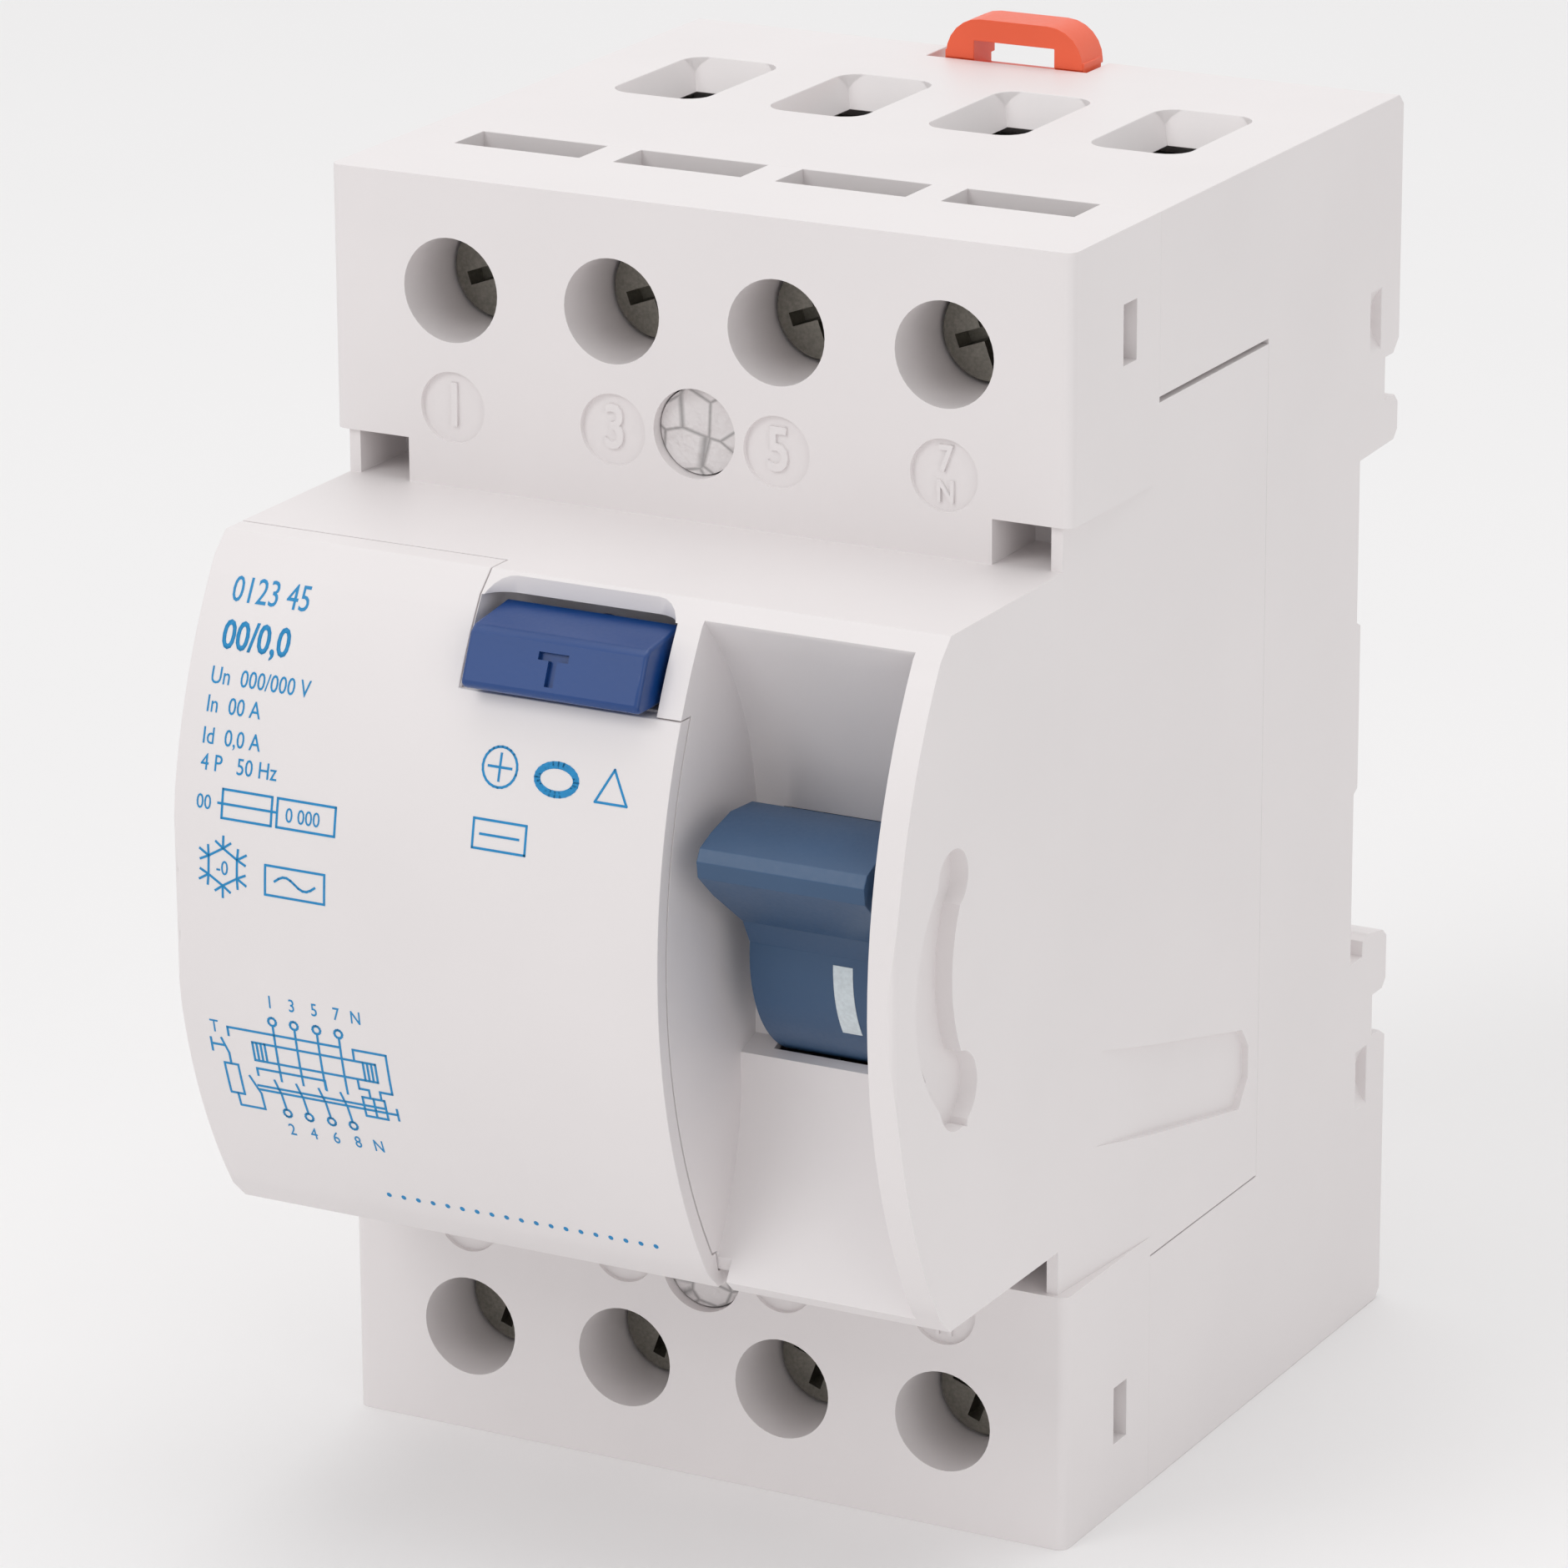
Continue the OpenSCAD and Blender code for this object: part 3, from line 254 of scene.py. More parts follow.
def plated(name, colour, rough, grain):
    """Zinc-plated steel: fine crystals in the plating and faint handling dulling."""
    material, tree, shader, at = new_material(name)
    crystal = noise(tree, at, grain, 4).outputs["Fac"]
    base = ramp(tree, crystal, shade(colour, 0.82), shade(colour, 1.1))
    tree.links.new(base, shader.inputs["Base Color"])
    tree.links.new(spread(tree, noise(tree, at, 2 * MM).outputs["Fac"], rough - 0.1, rough + 0.15),
                   shader.inputs["Roughness"])
    shader.inputs["Metallic"].default_value = 1.0
    bump(tree, shader, crystal, 0.25, 0.02 * MM)
    return material


def wound(name, colour, pitch, metallic, rough):
    """Wire or strip wound round the vertical: rings a pitch apart."""
    material, tree, shader, at = new_material(name)
    rings = add_node(tree, "ShaderNodeTexWave", {"Scale": 0.31 / pitch, "Distortion": 0.4},
                     {"Vector": at}, wave_type="RINGS", rings_direction="Z").outputs["Fac"]
    base = ramp(tree, rings, shade(colour, 0.55), colour, 0.1, 0.6)
    tree.links.new(base, shader.inputs["Base Color"])
    shader.inputs["Metallic"].default_value = metallic
    shader.inputs["Roughness"].default_value = rough
    bump(tree, shader, rings, 0.5, 0.05 * MM)
    return material


def printed_ink(name, colour):
    """Pad-printed ink: a thin, slightly uneven film."""
    material, tree, shader, at = new_material(name)
    film = noise(tree, at, 0.3 * MM, 3).outputs["Fac"]
    base = ramp(tree, film, shade(colour, 0.92), shade(colour, 1.08))
    tree.links.new(base, shader.inputs["Base Color"])
    tree.links.new(spread(tree, film, 0.4, 0.6), shader.inputs["Roughness"])
    return material


MATERIALS = {}


def make_materials():
    """Every finish of the switch, by its slot in the record."""
    colours = bpy.context.scene.switch_colours
    finishes = {
        # PBT, warm white: satin skin with a fine eroded texture
        "housing_plastic": moulded("PBT moulded warm white", linear(colours.housing),
                                   0.47, 0.28 * MM, 0.1, 0.012),
        # Polyamide, deep blue: smoother, so its edges catch light
        "button_plastic": moulded("Polyamide moulded deep blue", linear(colours.button),
                                  0.33, 0.35 * MM, 0.12, 0.08),
        # Glass-filled polyamide, grey blue: fibres mottle the satin skin
        "toggle_plastic": moulded("Glass-filled polyamide grey blue", linear(colours.toggle),
                                  0.42, 0.3 * MM, 0.2, 0.1),
        # Acetal, orange red: slightly waxy
        "clip_plastic": moulded("Acetal moulded orange red", linear(colours.clip),
                                0.4, 0.4 * MM, 0.1, 0.05),
        # Phenolic, near black: dull with pale flecks
        "inner_plastic": moulded("Phenolic moulded dark", linear("#3A3D42"),
                                 0.55, 0.2 * MM, 0.3, 0.2),
        # Natural polyamide, cream
        "lever_plastic": moulded("Polyamide moulded natural", linear("#D9D0BC"),
                                 0.45, 0.3 * MM, 0.12, 0.05),
        # Lacquered ceramic, brown
        "resistor_body": moulded("Lacquered ceramic brown", linear("#A87549"),
                                 0.25, 0.5 * MM, 0.15, 0.1),
        # Sealing compound, same white, lumpy and cracked where it was pressed in
        "seal": sealed("Sealing compound white", linear(colours.housing)),
        "steel": plated("Zinc-plated steel bright", linear(colours.zinc), 0.32, 0.15 * MM),
        "screw_steel": plated("Zinc-plated steel dull", linear("#8B8880"), 0.42, 0.2 * MM),
        "cage_steel": plated("Zinc-plated steel pressed", linear("#A7A7A4"), 0.38, 0.25 * MM),
        "copper": plated("Copper bare", linear(colours.copper), 0.3, 0.4 * MM),
        "spring_bronze": plated("Phosphor bronze strip", linear("#C08F5C"), 0.28, 0.3 * MM),
        "core_alloy": wound("Nickel-iron strip wound", linear("#6E7073"), 0.25 * MM, 0.9, 0.45),
        "winding": wound("Enamelled copper wire wound", linear("#A8502C"), 0.45 * MM, 0.4, 0.25),
        "ink": printed_ink("Printing ink blue", linear(colours.ink)),
        "mark": printed_ink("Printing ink pale grey", linear(colours.mark)),
    }
    MATERIALS.update(finishes)


def finish(piece, material_key):
    """Gives a piece one finish all over."""
    piece.data.materials.clear()
    piece.data.materials.append(MATERIALS[material_key])
    for face in piece.data.polygons:
        face.material_index = 0


# ---------- modelling ----------

WELD = 0.002 * MM                   # corners closer than this are one corner
FLAT_WITHIN = math.radians(0.4)     # faces that turn less than this are one face
SMOOTH_WITHIN = 32                  # degrees
FLAT_WEIGHT = 80                    # how strongly the large faces hold the shading flat
SAME_WAY = 0.995                    # cosine between two faces that look the same way


def deselect():
    """Leaves nothing selected, in object mode."""
    if bpy.context.object and bpy.context.object.mode != "OBJECT":
        bpy.ops.object.mode_set(mode="OBJECT")
    bpy.ops.object.select_all(action="DESELECT")


def activate(piece):
    """Selects one piece alone."""
    deselect()
    piece.select_set(True)
    bpy.context.view_layer.objects.active = piece


def settle(piece, name=None):
    """Puts a piece's place into its mesh."""
    activate(piece)
    bpy.ops.object.transform_apply(location=True, rotation=True, scale=True)
    if name:
        piece.name = name
        piece.data.name = name
    return piece


def apply_modifier(piece, kind, **settings):
    """Adds a modifier, sets it and applies it."""
    activate(piece)
    modifier = piece.modifiers.new(kind.title(), kind)
    for key, value in settings.items():
        setattr(modifier, key, value)
    bpy.ops.object.modifier_apply(modifier=modifier.name)


def join(pieces, name):
    """Makes several meshes one piece."""
    deselect()
    for piece in pieces:
        piece.select_set(True)
    bpy.context.view_layer.objects.active = pieces[0]
    if len(pieces) > 1:
        bpy.ops.object.join()
    pieces[0].name = name
    pieces[0].data.name = name
    return pieces[0]


def cleaned_copy(node, name):
    """A welded copy of a CAD node, with its flat faces whole again."""
    activate(frame["nodes"][node])
    bpy.ops.object.duplicate()
    piece = bpy.context.object
    bpy.ops.object.parent_clear(type="CLEAR_KEEP_TRANSFORM")
    piece.name = name
    piece.data.name = name
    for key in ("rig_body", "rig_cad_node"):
        if key in piece:
            del piece[key]
    bpy.ops.object.mode_set(mode="EDIT")
    bpy.ops.mesh.select_all(action="SELECT")
    bpy.ops.mesh.remove_doubles(threshold=WELD)
    bpy.ops.mesh.dissolve_limited(angle_limit=FLAT_WITHIN)
    bpy.ops.object.mode_set(mode="OBJECT")
    return piece


def round_edges(piece, radius, segments=2, sharper_than=SMOOTH_WITHIN):
    """Rounds the sharp edges and keeps the flats flat."""
    apply_modifier(piece, "BEVEL", width=radius, segments=segments, limit_method="ANGLE",
                   angle_limit=math.radians(sharper_than), use_clamp_overlap=True,
                   loop_slide=True)
    activate(piece)
    bpy.ops.object.shade_smooth_by_angle(angle=math.radians(sharper_than))
    apply_modifier(piece, "WEIGHTED_NORMAL", keep_sharp=True, weight=FLAT_WEIGHT)


def select_facing(piece, outward):
    """Selects the faces of a piece that look one way, in edit mode."""
    activate(piece)
    bpy.ops.object.mode_set(mode="EDIT")
    bpy.ops.mesh.select_mode(type="FACE")
    bpy.ops.mesh.select_all(action="DESELECT")
    bpy.ops.object.mode_set(mode="OBJECT")
    for face in piece.data.polygons:
        face.select = face.normal.dot(outward) > SAME_WAY
    bpy.ops.object.mode_set(mode="EDIT")


def stand_for(piece, node, body, slot):
    """Lets a piece stand for a CAD node and move with its body."""
    finish(piece, slot)
    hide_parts(node)
    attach(piece, body)


class SwitchHousing(bpy.types.Operator):
    """Finishes the cover, the base and the label plate"""

    bl_idname = "switch.housing"
    bl_label = "Housing"

    def execute(self, context):
        radius = context.scene.switch_sizes.housing_edge
        for node in ("front_cover", "rear_base", "label_plate"):
            piece = cleaned_copy(node, f"{node}_moulding")
            round_edges(piece, radius)
            stand_for(piece, node, "housing", "housing_plastic")
        return {"FINISHED"}


# The test button's front face leans back this far over this height, in millimetres
FACE_LEAN = math.atan2(1.3, 3.0)
FACE_MIDDLE = Vector((-0.1, 0.65, 1.9)) * MM    # from the foot of the front, in the middle
# The two strokes of the sunk T: width, height, and how far up the face, in millimetres
LETTER_STROKES = ((2.1, 0.5, 0.8), (0.6, 1.9, -0.1))


class SwitchButton(bpy.types.Operator):
    """Finishes the test button, with its sunk letter"""

    bl_idname = "switch.button"
    bl_label = "Test button"

    def execute(self, context):
        sizes = context.scene.switch_sizes
        piece = cleaned_copy("test_button", "test_button_moulding")
        round_edges(piece, sizes.control_edge, 3)
        low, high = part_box("test_button")
        face = Vector(((low.x + high.x) / 2, low.y, low.z)) + FACE_MIDDLE
        uphill = Vector((0, math.sin(FACE_LEAN), math.cos(FACE_LEAN)))
        outward = Vector((0, -math.cos(FACE_LEAN), math.sin(FACE_LEAN)))
        cutters = []
        for width, height, up in LETTER_STROKES:
            deselect()
            bpy.ops.mesh.primitive_cube_add(size=1, rotation=(-FACE_LEAN, 0, 0))
            cutter = bpy.context.object
            cutter.scale = (width * MM, 2 * sizes.relief, height * MM)
            cutter.location = face + uphill * up * MM
            cutters.append(settle(cutter))
        apply_modifier(cutters[0], "BOOLEAN", operation="UNION", object=cutters[1])
        apply_modifier(piece, "BOOLEAN", operation="DIFFERENCE", object=cutters[0])
        for cutter in cutters:
            bpy.data.objects.remove(cutter)
        # A sharp outline keeps the lettered face flat
        select_facing(piece, outward)
        bpy.ops.mesh.region_to_loop()
        bpy.ops.mesh.mark_sharp()
        bpy.ops.object.mode_set(mode="OBJECT")
        bpy.ops.object.shade_smooth_by_angle(angle=math.radians(SMOOTH_WITHIN))
        stand_for(piece, "test_button", "button", "button_plastic")
        return {"FINISHED"}


DRUM_RADIUS = 8.4 * MM
# The mark on the drum: its middle across, its width, and where it starts and ends round the axle
MARK_X = 18 * MM
MARK_WIDTH = 1.35 * MM
MARK_START = math.radians(-33)
MARK_END = math.radians(2)


class SwitchToggle(bpy.types.Operator):
    """Finishes the toggle and prints the mark on its drum"""

    bl_idname = "switch.toggle"
    bl_label = "Toggle"

    def execute(self, context):
        sizes = context.scene.switch_sizes
        piece = cleaned_copy("toggle", "toggle_moulding")
        round_edges(piece, sizes.lever_edge, 4, 20)
        stand_for(piece, "toggle", "toggle_lever", "toggle_plastic")
        low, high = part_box("toggle_axle")
        centre = Vector((MARK_X, (low.y + high.y) / 2, (low.z + high.z) / 2))
        deselect()
        bpy.ops.mesh.primitive_cylinder_add(
            vertices=180, radius=DRUM_RADIUS + sizes.ink, depth=MARK_WIDTH,
            location=centre, rotation=(0, math.radians(90), 0))
        mark = settle(bpy.context.object, "toggle_mark")
        bpy.ops.object.mode_set(mode="EDIT")
        bpy.ops.mesh.select_mode(type="FACE")
        bpy.ops.object.mode_set(mode="OBJECT")
        for face in mark.data.polygons:
            offset = face.center - centre
            turn = math.atan2(offset.z, -offset.y)
            end_cap = abs(face.normal.x) > 0.5
            face.select = end_cap or not MARK_START < turn < MARK_END
        bpy.ops.object.mode_set(mode="EDIT")
        bpy.ops.mesh.delete(type="FACE")
        bpy.ops.object.mode_set(mode="OBJECT")
        apply_modifier(mark, "SOLIDIFY", thickness=1.5 * sizes.ink, offset=-1)
        finish(mark, "mark")
        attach(mark, "toggle_lever")
        return {"FINISHED"}


class SwitchClip(bpy.types.Operator):
    """Finishes the rail clip"""

    bl_idname = "switch.clip"
    bl_label = "Rail clip"

    def execute(self, context):
        piece = cleaned_copy("rail_clip", "rail_clip_moulding")
        round_edges(piece, context.scene.switch_sizes.clip_edge, 2)
        stand_for(piece, "rail_clip", "clip", "clip_plastic")
        return {"FINISHED"}


# ---------- raised numbers and print ----------


CAPITAL_SHARE = 0.72    # height of a capital in a letter size of one
NARROW = 0.84           # how much narrower the letters are drawn


def lettering(text, x, y, z, height, thickness, bold=0.0, align="CENTER"):
    """Text as a mesh that faces the front; z is the middle, or the baseline if it starts at x."""
    deselect()
    bpy.ops.object.text_add(location=place(x, y, z), rotation=(math.radians(90), 0, 0))
    piece = bpy.context.object
    piece.data.body = text
    piece.data.size = height / CAPITAL_SHARE
    piece.data.align_x = align
    piece.data.align_y = "CENTER" if align == "CENTER" else "BOTTOM_BASELINE"
    piece.data.offset = bold * MM
    piece.scale.x = NARROW
    piece.data.extrude = thickness / 2
    piece.data.resolution_u = 3
    bpy.ops.object.convert(target="MESH")
    piece = settle(bpy.context.object)
    bpy.ops.object.mode_set(mode="EDIT")
    bpy.ops.mesh.select_all(action="SELECT")
    bpy.ops.mesh.remove_doubles(threshold=WELD / 2)
    bpy.ops.object.mode_set(mode="OBJECT")
    return piece


# Terminal numbers, in millimetres: the discs they stand in, and the discs with two rows
DISC_FROM_END = 14.95
NUMBER_Y = 0.33             # middle of their thickness, from the shoulder face
SPLIT_SHARE = 0.58          # height of a number that shares its disc with an N
SPLIT_UP, SPLIT_DOWN = 0.95, 1.15
N_SHARE = 0.85              # height of that N against its number


class SwitchNumbers(bpy.types.Operator):
    """Raises the terminal numbers in their discs"""

    bl_idname = "switch.numbers"
    bl_label = "Terminal numbers"

    def execute(self, context):
        sizes = context.scene.switch_sizes
        pieces = []
        for z, names in ((HEIGHT / MM - DISC_FROM_END, "1357"), (DISC_FROM_END, "2468")):
            for i, name in enumerate(names):
                x = (i - 1.5) * POLE_PITCH / MM
                if name in "78":
                    size = sizes.numeral * SPLIT_SHARE
                    pieces.append(lettering(name, x, NUMBER_Y, z + SPLIT_UP, size, sizes.relief,
                                            0.06))
                    pieces.append(lettering("N", x, NUMBER_Y, z - SPLIT_DOWN, size * N_SHARE,
                                            sizes.relief, 0.04))
                else:
                    pieces.append(lettering(name, x, NUMBER_Y, z, sizes.numeral, sizes.relief,
                                            0.06))
        piece = join(pieces, "terminal_numbers")
        finish(piece, "housing_plastic")
        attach(piece, "housing")
        return {"FINISHED"}


# ---------- print: places across and up the label plate, in millimetres ----------

PRINT_Y = -26                       # in front of the plate, before the print is laid on it
PLATE_LOW, PLATE_HIGH = 22.0, 63.0
FOLD_STEP = 0.8                     # the print is cut this often so that it follows the curve

# Lines of the wiring diagram, each a row of joined points
WIRES = (
    # The bus over the poles, and the test button with its blade
    ((-22.2, 33.7), (-22.2, 34.3), (-13.9, 34.3)),
    ((-23.6, 33.3), (-23.6, 32.4)), ((-23.6, 32.9), (-22.6, 32.9)),
    ((-22.8, 33.4), (-22.4, 32.4), (-22.4, 31.6)),
    # From the test resistor round to the blades
    ((-22.4, 29.4), (-22.4, 28.5), (-20.6, 28.5), (-20.6, 29.7), (-21.2, 30.9)),
    # From the transformer to the release
    ((-13.0, 33.5), (-13.0, 34.3), (-10.6, 34.3), (-10.6, 31.5), (-11.5, 31.5), (-11.5, 30.9)),
    ((-13.0, 32.2), (-13.0, 31.5), (-12.3, 31.5), (-12.3, 30.9)),
    ((-20.5, 31.1), (-20.5, 31.6), (-15.5, 31.6), (-15.5, 30.9)),
    # The bar that opens the blades, and its handle
    ((-20.7, 30.3), (-11.3, 30.3)), ((-20.7, 30.0), (-10.5, 30.0)), ((-10.5, 30.4), (-10.5, 29.6)),
    ((-12.1, 30.9), (-12.1, 29.5)),
)
# Boxes by two corners: resistor, transformer, release, fuse, rating, wave and plain mark
BOXES = (
    (-22.9, 31.6, -21.9, 29.4), (-20.5, 33.5, -11.5, 32.2), (-12.9, 30.9, -11.3, 29.5),
    (-21.9, 50.1, -18.3, 48.3), (-17.9, 50.1, -13.7, 48.3), (-18.6, 45.8, -14.3, 43.9),
    (-3.9, 50.9, -0.2, 49.1),
)
# The fuse's wire, a plain triangle and the bar in the plain box
SYMBOLS = (
    ((-22.2, 49.2), (-17.9, 49.2)),
    ((4.3, 53.0), (5.4, 55.0), (6.5, 53.0), (4.3, 53.0)),
    ((-3.4, 50.0), (-0.7, 50.0)),
)
# Turns of the two coils at the ends of the transformer
COIL_X = (-20.2, -12.4)
COIL_STEP = 0.3
COIL_Z = (33.5, 32.2)

POLE_X = (-18.75, -17.15, -15.5, -13.9)
POLE_TOP, POLE_END, POLE_FOOT = 35.25, 30.95, 28.5
POLE_RING = 0.28
POLE_SHIFT = 0.2                    # the lower half stands this far left
DIGITS = (("1357", 0, 36.6), ("2468", -POLE_SHIFT, 27.2))
DIGIT_HEIGHT = 0.9

# A cross in a ring, and an oval of three rings
CROSS = (-2.5, 54.1, 1.2)
CROSS_ARM = 0.8
OVAL = (1.5, 53.9)
OVAL_RADII = ((1.5, 1.0), (1.36, 0.86), (1.22, 0.72))

DOTS_X, DOTS_Z, DOTS_LENGTH = -13.1, 23.2, 19.3
DOT_GAPS = 18
DOT_RADIUS = 0.17

# Text, its left edge and baseline, its height, and how bold it is
WORDS = (
    ("0123 45", -23.5, 61.1, 1.5, 0.0),
    ("00/0,0", -23.5, 58.4, 1.7, 0.04),
    ("Un  000/000 V", -23.8, 56.3, 1.05, 0.0),
    ("In  00 A", -23.8, 54.6, 1.05, 0.0),
    ("Id  0,0 A", -23.8, 52.7, 1.05, 0.0),
    ("4 P   50 Hz", -23.7, 51.1, 1.05, 0.0),
    ("00", -23.8, 48.7, 0.95, 0.0),
    ("0 000", -17.3, 48.7, 0.95, 0.0),
    ("-0", -22.2, 44.7, 0.95, 0.0),
    ("T", -23.5, 33.8, 0.9, 0.0),
    ("N", -12.9, 36.2, 0.9, 0.0),
    ("N", -13.0, 26.8, 0.9, 0.0),
)


def strip(x0, z0, x1, z1):
    """A printed line between two points, as a flat strip in front of the plate."""
    deselect()
    width = bpy.context.scene.switch_sizes.line
    bpy.ops.mesh.primitive_plane_add(size=1, location=place((x0 + x1) / 2, PRINT_Y, (z0 + z1) / 2),
                                     rotation=(math.radians(90), -math.atan2(z1 - z0, x1 - x0), 0))
    piece = bpy.context.object
    piece.scale = (math.hypot(x1 - x0, z1 - z0) * MM + width * 0.8, width, 1)
    return settle(piece)


def chain(points):
    """Printed lines through a row of points."""
    return [strip(*a, *b) for a, b in zip(points, points[1:])]


def outline(x0, z0, x1, z1):
    """A printed box between two corners."""
    return chain([(x0, z0), (x1, z0), (x1, z1), (x0, z1), (x0, z0)])


def spot(x, z, radius):
    """A printed dot."""
    deselect()
    bpy.ops.mesh.primitive_circle_add(vertices=12, radius=radius * MM, fill_type="NGON",
                                      location=place(x, PRINT_Y, z),
                                      rotation=(math.radians(90), 0, 0))
    return settle(bpy.context.object)


def ring(x, z, radius_x, radius_z, steps=12):
    """A printed ring, round or oval."""
    return chain([(x + radius_x * math.cos(math.tau * i / steps),
                   z + radius_z * math.sin(math.tau * i / steps)) for i in range(steps + 1)])


def wave(x, z, length, height):
    """One printed sine wave."""
    steps = 10
    return chain([(x + length * i / steps, z + height * math.sin(math.tau * i / steps))
                  for i in range(steps + 1)])


def poles():
    """The four poles of the diagram: ring, wire, contact blade and ring."""
    pieces = []
    for x in POLE_X:
        foot = x - POLE_SHIFT
        pieces += ring(x, POLE_TOP, POLE_RING, POLE_RING)
        pieces.append(strip(x, POLE_TOP - 0.3, x - 0.05, POLE_END))
        pieces += chain([(x - 0.6, POLE_END - 0.05), (x - 0.3, 29.9), (foot, POLE_FOOT + 0.3)])
        pieces += ring(foot, POLE_FOOT, POLE_RING, POLE_RING)
    return pieces


def coils():
    """The turns of the transformer's two coils."""
    return [strip(x + COIL_STEP * i, COIL_Z[0], x + COIL_STEP * i, COIL_Z[1])
            for x in COIL_X for i in range(3)]


def frost_star(x, z, ring_radius=1.2, arm_radius=1.95, barb_length=0.65):
    """A six-armed frost star with small barbs."""
    def around(degrees, radius, from_x=x, from_z=z):
        turn = math.radians(degrees)
        return from_x + radius * math.cos(turn), from_z + radius * math.sin(turn)

    pieces = []
    for arm in range(90, 450, 60):
        near = around(arm, ring_radius)
        pieces.append(strip(*near, *around(arm, arm_radius)))
        pieces.append(strip(*near, *around(arm + 60, ring_radius)))
        for barb in (arm - 55, arm + 55):
            pieces.append(strip(*near, *around(barb, barb_length, *near)))
    return pieces


class SwitchPrint(bpy.types.Operator):
    """Prints the wiring diagram, the symbols and the dotted line on the label plate"""

    bl_idname = "switch.print"
    bl_label = "Print"

    def execute(self, context):
        sizes = context.scene.switch_sizes
        pieces = [piece for row in WIRES + SYMBOLS for piece in chain(row)]
        pieces += [piece for box in BOXES for piece in outline(*box)]
        pieces += coils() + poles() + frost_star(-21.7, 45.2)
        pieces += wave(-17.9, 44.85, 2.9, 0.35)
        x, z, radius = CROSS
        pieces += ring(x, z, radius, radius, 24)
        pieces.append(strip(x - CROSS_ARM, z, x + CROSS_ARM, z))
        pieces.append(strip(x, z - CROSS_ARM, x, z + CROSS_ARM))
        for radii in OVAL_RADII:
            pieces += ring(*OVAL, *radii, 24)
        for i in range(DOT_GAPS + 1):
            pieces.append(spot(DOTS_X + DOTS_LENGTH * i / DOT_GAPS, DOTS_Z, DOT_RADIUS))
        for text, x, z, height, bold in WORDS:
            pieces.append(lettering(text, x, PRINT_Y, z, height * MM, 0, bold, "LEFT"))
        for digits, shift, z in DIGITS:
            for digit, x in zip(digits, POLE_X):
                pieces.append(lettering(digit, x + shift, PRINT_Y, z, DIGIT_HEIGHT * MM, 0))
        piece = join(pieces, "label_print")
        activate(piece)
        bpy.ops.object.mode_set(mode="EDIT")
        for i in range(math.ceil((PLATE_HIGH - PLATE_LOW) / FOLD_STEP)):
            bpy.ops.mesh.select_all(action="SELECT")
            fold = place(0, 0, PLATE_LOW + FOLD_STEP * i)
            bpy.ops.mesh.bisect(plane_co=fold, plane_no=(0, 0, 1))
        bpy.ops.mesh.select_all(action="SELECT")
        bpy.ops.mesh.quads_convert_to_tris()
        bpy.ops.object.mode_set(mode="OBJECT")
        apply_modifier(piece, "SHRINKWRAP", target=bpy.data.objects["label_plate_moulding"],
                       wrap_method="PROJECT", use_project_y=True, use_negative_direction=True,
                       use_positive_direction=True, offset=sizes.ink / 3)
        apply_modifier(piece, "SOLIDIFY", thickness=sizes.ink, offset=0)
        finish(piece, "ink")
        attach(piece, "housing")
        return {"FINISHED"}


class SwitchMetal(bpy.types.Operator):
    """Finishes every CAD node, those inside too"""

    bl_idname = "switch.metal"
    bl_label = "Metal and inner parts"

    def execute(self, context):
        finishes = {s["node"]: s["material_slot"] for s in frame["record"]["subparts"]}
        finishes.update({"transformer_winding": "winding", "screw_seal": "seal"})
        for node, piece in frame["nodes"].items():
            finish(piece, finishes[node])
        return {"FINISHED"}


# ---------- stage ----------

# Name, place in metres, width in metres and power in watts
LAMPS = (
    ("key_lamp", (-0.35, -0.75, 0.75), 0.5, 2.3),
    ("fill_lamp", (0.8, -0.5, 0.35), 0.6, 0.8),
    ("top_lamp", (0.0, 0.3, 1.6), 1.6, 8.5),
)
LAMP_AIM = Vector((0, 0, 0.045))
SKY_LIT, SKY_SEEN = 0.6, 1.0        # how bright the sky lights, and how bright it looks
CAMERA_AIM = place(0, 25, 42.5)
CAMERA_RIGHT = 6.334 * MM           # how far the middle of the view is from that point
CAMERA_UP = 2.053 * MM


def area_light(name, position, size, power):
    """A soft lamp aimed at the middle of the switch."""
    deselect()
    bpy.ops.object.light_add(type="AREA", location=position)
    lamp = bpy.context.object
    lamp.name = name
    lamp.data.shape = "DISK"
    lamp.data.size = size
    lamp.data.energy = power
    toward = LAMP_AIM - Vector(position)
    lamp.rotation_euler = toward.to_track_quat("-Z", "Y").to_euler()


def backdrop_shader(tree, colour, lit, seen):
    """A colour that lights at one level and shows at another, in mirrors and glass too."""
    path = add_node(tree, "ShaderNodeLightPath")
    seen_at = path.outputs["Is Camera Ray"]
    for ray in ("Is Glossy Ray", "Is Transmission Ray"):
        seen_at = add_node(tree, "ShaderNodeMath", links={0: seen_at, 1: path.outputs[ray]},
                           operation="MAXIMUM").outputs[0]
    strength = spread(tree, seen_at, lit, seen)
    return add_node(tree, "ShaderNodeBackground", {"Color": colour}, {"Strength": strength})


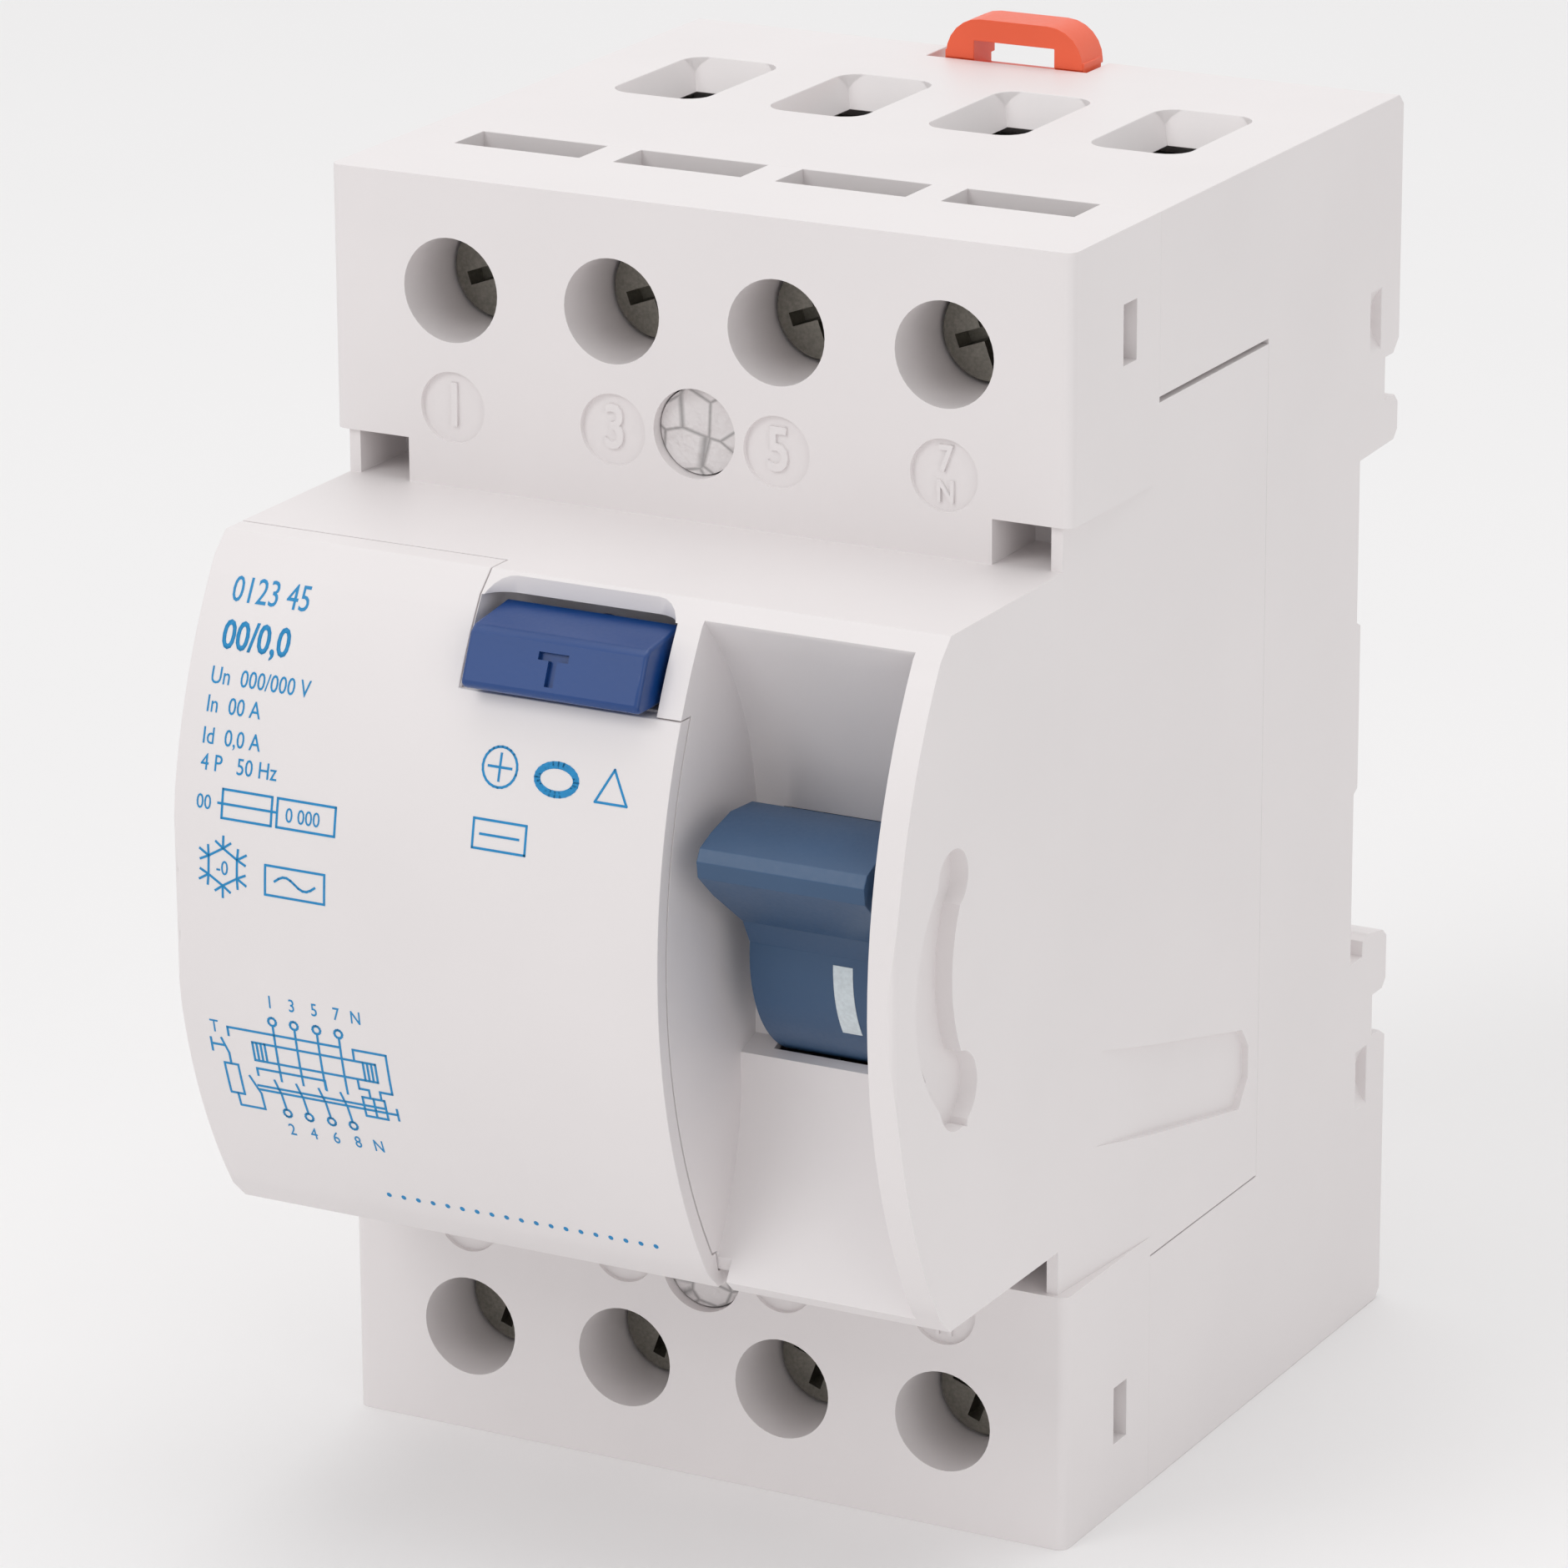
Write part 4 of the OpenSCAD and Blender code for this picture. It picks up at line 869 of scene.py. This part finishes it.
class SwitchStage(bpy.types.Operator):
    """Sets the floor, the lamps, the background and the camera"""

    bl_idname = "switch.stage"
    bl_label = "Stage"

    def execute(self, context):
        scene = context.scene
        colours = scene.switch_colours
        view = scene.switch_view
        deselect()
        bpy.ops.mesh.primitive_plane_add(size=8, location=(0, 0, 0))
        floor = settle(bpy.context.object, "floor")
        material, tree, shader, at = new_material("Matt paper")
        pale = linear(colours.floor)
        base = ramp(tree, noise(tree, at, 40 * MM).outputs["Fac"], shade(pale, 0.995), pale)
        tree.links.new(base, shader.inputs["Base Color"])
        shader.inputs["Roughness"].default_value = 0.9
        floor.data.materials.append(material)

        world = bpy.data.worlds.new("Studio")
        scene.world = world
        world.use_nodes = True
        world.node_tree.nodes.clear()
        background = backdrop_shader(world.node_tree, linear("#FFFFFF"), SKY_LIT, SKY_SEEN)
        add_node(world.node_tree, "ShaderNodeOutputWorld",
                 links={"Surface": background.outputs["Background"]})
        for lamp in LAMPS:
            area_light(*lamp)

        right = Vector((math.cos(view.azimuth), math.sin(view.azimuth), 0))
        back = Vector((math.sin(view.azimuth) * math.cos(view.elevation),
                       -math.cos(view.azimuth) * math.cos(view.elevation),
                       math.sin(view.elevation)))
        up = back.cross(right)
        turn = Matrix.Rotation(view.roll, 3, back)
        right, up = turn @ right, turn @ up
        deselect()
        bpy.ops.object.camera_add()
        camera = bpy.context.object
        camera.name = "camera"
        camera.data.lens = view.focal
        camera.data.sensor_width = 36
        camera.data.clip_start = 0.01
        stand = CAMERA_AIM - right * CAMERA_RIGHT - up * CAMERA_UP + back * view.distance
        camera.matrix_world = Matrix.Translation(stand) @ Matrix(
            (right, up, back)).transposed().to_4x4()
        scene.camera = camera
        scene.view_settings.view_transform = "Standard"
        return {"FINISHED"}


# ---------- add-on ----------

OPERATORS = (SwitchStage, SwitchHousing, SwitchButton, SwitchToggle, SwitchClip, SwitchNumbers,
             SwitchPrint, SwitchMetal)


class SwitchPanel(bpy.types.Panel):
    """Lists the steps that finish the switch"""

    bl_idname = "VIEW3D_PT_switch"
    bl_label = "Residual current switch"
    bl_space_type = "VIEW_3D"
    bl_region_type = "UI"
    bl_category = "Switch"

    def draw(self, context):
        for group in ("switch_sizes", "switch_colours", "switch_view"):
            settings = getattr(context.scene, group)
            for name in settings.bl_rna.properties.keys():
                if name not in ("rna_type", "name"):
                    self.layout.prop(settings, name)
        for operator in OPERATORS:
            self.layout.operator(operator.bl_idname)


CLASSES = (SwitchSizes, SwitchColours, SwitchView) + OPERATORS + (SwitchPanel,)


def register():
    """Adds the settings, the operators and the panel."""
    for cls in CLASSES:
        bpy.utils.register_class(cls)
    bpy.types.Scene.switch_sizes = bpy.props.PointerProperty(type=SwitchSizes)
    bpy.types.Scene.switch_colours = bpy.props.PointerProperty(type=SwitchColours)
    bpy.types.Scene.switch_view = bpy.props.PointerProperty(type=SwitchView)


def unregister():
    """Takes them away again."""
    for name in ("switch_sizes", "switch_colours", "switch_view"):
        delattr(bpy.types.Scene, name)
    for cls in reversed(CLASSES):
        bpy.utils.unregister_class(cls)


def main():
    """Finishes the whole switch."""
    register()
    make_materials()
    bpy.ops.switch.stage()
    bpy.ops.switch.housing()
    bpy.ops.switch.button()
    bpy.ops.switch.toggle()
    bpy.ops.switch.clip()
    bpy.ops.switch.numbers()
    bpy.ops.switch.print()
    bpy.ops.switch.metal()


if __name__ == "__main__":
    main()
